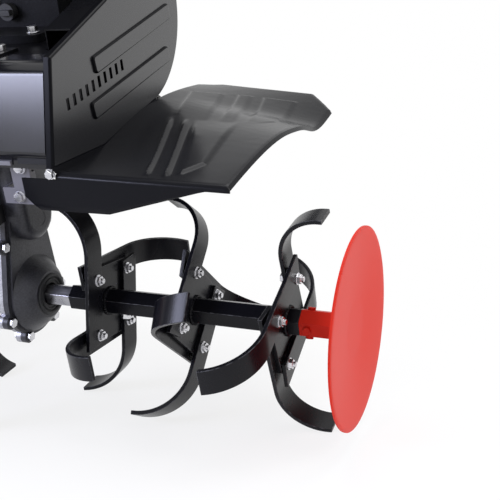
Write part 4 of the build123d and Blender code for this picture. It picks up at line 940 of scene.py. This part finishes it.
headBolts = {
    "crank": (225.0, -4.0, 455.0),
    "lift": 25.0,
    "reach": 157.0,
    "spreadY": 33.0,
    "spreadUp": 38.0,
    "width": 0.012,
    "height": 0.008,
}


def addHeadBolts():
    setup = headBolts
    bm = bmesh.new()
    x, y, z = setup["crank"]
    lift = math.radians(setup["lift"])
    cos, sin = math.cos(lift), math.sin(lift)
    for sideY in (-1, 1):
        for sideUp in (-1, 1):
            ahead, aside, rise = setup["reach"], sideY * setup["spreadY"], sideUp * setup["spreadUp"]
            place = spot(x + ahead * cos - rise * sin, y + aside, z + ahead * sin + rise * cos)
            addHexHead(bm, place, heading(cos, 0, sin), setup["width"], setup["height"])
    finishMesh(bm, "head_bolts", "zinc", "frame")


addHeadBolts()
print("bolts made")


# rear wall of the frame: one bent sheet, rolled over at the top and joggled at the foot

def vertsIn(geom):
    return [item for item in geom if isinstance(item, bmesh.types.BMVert)]


def thicken(bm, sheet):
    bmesh.ops.recalc_face_normals(bm, faces=bm.faces)
    bmesh.ops.solidify(bm, geom=bm.faces, thickness=sheet)


def addRearWall():
    setup = wallSetup
    bm = bmesh.new()
    verts = [bm.verts.new(spot(x, setup["right"], z)) for x, z in setup["route"]]
    for pair in zip(verts, verts[1:]):
        bm.edges.new(pair)
    for vert, bend in zip(verts[1:-1], setup["bends"]):
        before, after = (edge.other_vert(vert).co - vert.co for edge in vert.link_edges)
        reach = bend / 1000 / math.tan(before.angle(after) / 2)
        bmesh.ops.bevel(bm, geom=[vert], offset=reach, offset_type="OFFSET", segments=setup["bendSteps"],
                        profile=0.5, affect="VERTICES", material=-1)
    made = bmesh.ops.extrude_edge_only(bm, edges=bm.edges[:])
    far = vertsIn(made["geom"])
    bmesh.ops.translate(bm, verts=far, vec=leftward * (setup["left"] - setup["right"]) / 1000)
    thicken(bm, setup["sheet"])
    closeUp(bm)
    finishMesh(bm, "rear_wall", "black_paint", "frame", finish=wallPaint)


addRearWall()
print("rear wall made")


# mudguards: pressed sheet with raised panels and ribs, a rolled rim and a skirt folded down at the rear

guardSetup = {
    "step": 3.0,
    "front": 390.0,
    "outer": 410.0,
    "foldStart": -89.43,
    "foldRadius": 8.0,
    "skirtRows": 16,
    "skirtInner": 110.0,
    "skirtLow": ((235.0, 187.0), (380.0, 228.0)),
    "skirtLeast": 1.0,
    "skirtCorner": 20.0,
    "hem": 5.0,
    "hemRange": (0.78, 1.2),
    "sheet": 0.0018,  # metres, the other lengths here are millimetres
    "lift": 2.0,
    "rim": 6.0,
    "inside": (100.0, 300.0),  # a place well inside the sheet's outline
    "probe": 120.0,  # level below the CAD sheet from which its underside is felt for
    "probeRear": -96.0,
    "probeInset": (0.5, 0.4),
    "missing": 200.0,  # level taken where no sheet is felt
    "join": 0.01,
    "corners": (((390.0, 362.0), (332.0, 410.0)), ((390.0, 196.0), (362.0, 163.3))),
    "panels": (
        # outline as (forward, outward), where the rise starts and where it is full, rise
        (((283.0, 182.0), (313.0, 232.0), (105.0, 290.0), (75.0, 240.0)), (105.0, 225.0), 3.1),
        (((323.0, 250.0), (330.0, 276.0), (120.0, 326.0), (111.0, 301.0)), (115.0, 235.0), 3.1),
        (((333.0, 291.0), (339.0, 350.0), (176.0, 373.0), (120.0, 339.0)), (130.0, 250.0), 3.1),
        (((142.0, 255.0), (182.0, 332.0), (-12.0, 352.0), (-33.0, 355.0), (-76.0, 330.0)), (150.0, 60.0),
         3.6),
    ),
    "panelSlope": 7.0,
    "ribs": (((130.0, 222.0), (-74.0, 286.0)), ((112.0, 254.0), (-76.0, 314.0))),
    "ribWidth": 11.0,
    "ribRise": 3.6,
    "ribEnd": 6.0,
    "ribFade": (140.0, 100.0),
}


def ease(value, low, high):
    share = min(max((value - low) / (high - low), 0.0), 1.0)
    return share * share * (3 - 2 * share)


def sideDistance(point, start, end):
    # distance to the left of a line, looking from its start to its end
    run = Vector(end) - Vector(start)
    arm = Vector(point) - Vector(start)
    return (run.x * arm.y - run.y * arm.x) / run.length


def guardRelief(x, out):
    setup = guardSetup
    rise = 0.0
    for outline, (fadeFrom, fadeTo), height in setup["panels"]:
        depth = min(sideDistance((x, out), *pair) for pair in zip(outline, outline[1:] + outline[:1]))
        rise = max(rise, height * ease(depth, 0.0, setup["panelSlope"]) * ease(x, fadeFrom, fadeTo))
    for start, end in setup["ribs"]:
        off = abs(sideDistance((x, out), start, end))
        ends = ease(x, end[0] - setup["ribEnd"], end[0] + setup["ribEnd"]) * ease(x, *setup["ribFade"])
        rise = max(rise, setup["ribRise"] * ease(-off, -setup["ribWidth"] / 2, 0.0) * ends)
    return rise


def rimDrop(x, out):
    setup = guardSetup
    edge = min(setup["outer"] - out, setup["front"] - x)
    for (x0, y0), (x1, y1) in setup["corners"]:
        inward = sideDistance(setup["inside"], (x0, y0), (x1, y1))
        edge = min(edge, sideDistance((x, out), (x0, y0), (x1, y1)) * math.copysign(1.0, inward))
    short = max(setup["rim"] - max(edge, 0.0), 0.0)
    return setup["rim"] - math.sqrt(max(setup["rim"] ** 2 - short ** 2, 0.0))


def addMudguard(node, side, inner):
    setup = guardSetup
    step, bend = setup["step"], setup["foldRadius"]
    mesh = frame["nodes"][node].data
    tree = BVHTree.FromPolygons([vert.co for vert in mesh.vertices],
                                [tuple(face.vertices) for face in mesh.polygons])
    edgeInset, innerInset = setup["probeInset"]

    def sheetTop(x, out):
        # top of the CAD sheet, which has no raised panels, felt for from below
        x = min(max(x, setup["probeRear"]), setup["front"] - edgeInset)
        out = min(max(out, inner + innerInset), setup["outer"] - edgeInset)
        start = spot(x, side * out, setup["probe"])
        hit = tree.ray_cast(start, upward)[0]
        return (setup["probe"] + (hit - start).length * 1000 if hit else setup["missing"]) + setup["lift"]

    def low(out):
        (y0, z0), (y1, z1) = setup["skirtLow"]
        return z0 + (z1 - z0) * min(max((out - y0) / (y1 - y0), 0.0), 1.0)

    arc = bend * math.pi / 2
    rear = setup["foldStart"] - arc - step * setup["skirtRows"]
    rows = round((setup["front"] - rear) / step)
    bm = bmesh.new()

    def addPatch(first, last, rowCount):
        columns = round((last - first) / step)
        middle = Matrix.Translation((rear + rowCount * step / 2, (first + last) / 2, 0))
        half = Matrix.Diagonal((rowCount * step / 2, (last - first) / 2, 1, 1))
        bmesh.ops.create_grid(bm, x_segments=rowCount, y_segments=columns, size=1.0, matrix=middle @ half)

    addPatch(inner, setup["outer"], rows)
    addPatch(setup["skirtInner"], inner, setup["skirtRows"])
    bmesh.ops.remove_doubles(bm, verts=bm.verts, dist=setup["join"])
    insideX, insideY = setup["inside"]
    lowCorner = ((rear, setup["skirtInner"] + setup["skirtCorner"]),
                 (rear + setup["skirtCorner"], setup["skirtInner"]))
    for (x0, y0), (x1, y1) in setup["corners"] + (lowCorner,):
        away = Vector((y1 - y0, x0 - x1, 0)).normalized()
        if away.dot(Vector((insideX - x0, insideY - y0, 0))) > 0:
            away = -away
        cutMesh(bm, (x0, y0, 0), away, clear=True)
    for vert in bm.verts:
        x, out = vert.co.x, vert.co.y
        drop = rimDrop(x, out)
        if x >= setup["foldStart"]:
            height = sheetTop(x, out) + guardRelief(x, out)
        else:
            top = sheetTop(setup["foldStart"], out)
            run = setup["foldStart"] - x
            turn = min(run / bend, math.pi / 2)
            drop *= math.cos(turn)
            share = max(run - arc, 0.0) / (step * setup["skirtRows"])
            fall = share * max(top - bend - low(out), setup["skirtLeast"])
            height = top - bend * (1 - math.cos(turn)) - fall
            x = setup["foldStart"] - bend * math.sin(turn) + setup["hem"] * ease(share, *setup["hemRange"])
        vert.co = spot(x, side * out, height - drop)
    bmesh.ops.recalc_face_normals(bm, faces=bm.faces)
    if sum(face.normal.dot(upward) * face.calc_area() for face in bm.faces) < 0:
        bmesh.ops.reverse_faces(bm, faces=bm.faces)
    bmesh.ops.solidify(bm, geom=bm.faces, thickness=setup["sheet"])
    piece = finishMesh(bm, node + "_pressed", "black_paint", "frame", finish=guardPaint)
    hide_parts(node)


guardInner = {"right": 163.3, "left": 130.3}
addMudguard("mudguard_right", -1, guardInner["right"])
addMudguard("mudguard_left", 1, guardInner["left"])
print("mudguards made")


# set bolts that lock the tubes to the shaft, and the flared lips of its seals

sealSetup = {"face": 40.2, "rings": ((0.0298, 0.0028), (0.0236, 0.0017)), "steps": 64, "sides": 12}
setBolt = {"along": 176.0, "flat": 243.8, "reach": 18.0, "width": 0.013, "height": 0.007}


def addSetBolts():
    bm = bmesh.new()
    turn = math.radians(setBolt["flat"])
    ahead, rise = math.cos(turn), math.sin(turn)
    for side in (-1, 1):
        seat = spot(ahead * setBolt["reach"], side * setBolt["along"], rise * setBolt["reach"])
        addHexHead(bm, seat, heading(ahead, 0, rise), setBolt["width"], setBolt["height"])
    finishMesh(bm, "tube_set_bolts", "zinc", "tines")


def addSealLips():
    setup = sealSetup
    bm = bmesh.new()
    for side in (-1, 1):
        centre = spot(0, side * setup["face"], 0)
        for radius, thick in setup["rings"]:
            addRing(bm, centre, leftward, radius, thick, setup["steps"], setup["sides"])
    closeUp(bm)
    finishMesh(bm, "seal_lips", "rubber", "frame")


addSetBolts()
addSealLips()
print("set bolts and seal lips made")


# flat washers under the heads and nuts of the blade bolts

washerSetup = {"radius": 0.0088, "thick": 0.0016}


def plateGap(y):
    return min(abs(abs(y) * 1000 - plate) for plate in rotorPlates)


def addWashers():
    bolts = bmesh.new()
    bolts.from_mesh(frame["nodes"]["blade_bolts"].data)
    bmesh.ops.remove_doubles(bolts, verts=bolts.verts, dist=edgeSetup["merge"])
    seen = set()
    bm = bmesh.new()
    for vert in bolts.verts:
        if vert in seen:
            continue
        island, todo = [], [vert]
        seen.add(vert)
        while todo:
            here = todo.pop()
            island.append(here.co.copy())
            for edge in here.link_edges:
                other = edge.other_vert(here)
                if other not in seen:
                    seen.add(other)
                    todo.append(other)
        lows = [min(point[axis] for point in island) for axis in range(3)]
        highs = [max(point[axis] for point in island) for axis in range(3)]
        ends = sorted((lows[1], highs[1]), key=plateGap)
        seat = Vector(((lows[0] + highs[0]) / 2, ends[0], (lows[2] + highs[2]) / 2))
        away = Vector((0, math.copysign(1.0, ends[1] - ends[0]), 0))
        addRod(bm, seat, seat + away * washerSetup["thick"], washerSetup["radius"])
    bolts.free()
    finishMesh(bm, "blade_washers", "zinc", "tines")


addWashers()
print("washers made")


# lips of the mudguards, turned up against the belt cover on the right and the frame's side on the left

lipSetup = {
    "sheet": 0.0014,
    "cling": 3.0,
    "stand": 0.2,
    "sink": 1.0,
    "least": 1.0,
    "edgeReach": 0.05,
    # guard, side, lower line of what the lip stands against, last place forward
    "right": ("mudguard_right", -1, ((-97.0, 246.0), (32.0, 235.0), (205.0, 257.0)), 200.0),
    "left": ("mudguard_left", 1, ((-97.0, 247.0), (80.0, 247.0)), 80.0),
}


def heightOn(line, x):
    for (x0, z0), (x1, z1) in zip(line, line[1:]):
        if x <= x1:
            return z0 + (z1 - z0) * (x - x0) / (x1 - x0)
    return line[-1][1]


def addGuardLip(key):
    setup = lipSetup
    node, side, line, last = setup[key]
    inner = guardInner[key]
    unlean = Matrix.Rotation(leanBack, 4, "Y")
    level = [unlean @ (vert.co - shaftMiddle) * 1000 for vert in frame["nodes"][node].data.vertices]
    tops = {}
    for at in level:
        if abs(at.y - side * inner) < setup["edgeReach"] and at.x < last:
            tops[round(at.x, 1)] = max(at.z, tops.get(round(at.x, 1), at.z))
    bm = bmesh.new()
    out = side * (inner + setup["stand"])
    low = [bm.verts.new(spot(x, out, tops[x] - setup["sink"])) for x in sorted(tops)]
    rails = [bm.edges.new(pair) for pair in zip(low, low[1:])]
    raised = bmesh.ops.extrude_edge_only(bm, edges=rails)
    for vert in vertsIn(raised["geom"]):
        at = unlean @ (vert.co - shaftMiddle) * 1000
        vert.co += upward * max(heightOn(line, at.x) + setup["cling"] - at.z, setup["least"]) / 1000
    thicken(bm, setup["sheet"])
    closeUp(bm)
    finishMesh(bm, "guard_lip_" + key, "black_paint", "frame", finish=guardPaint)


addGuardLip("right")
addGuardLip("left")
print("mudguard lips made")
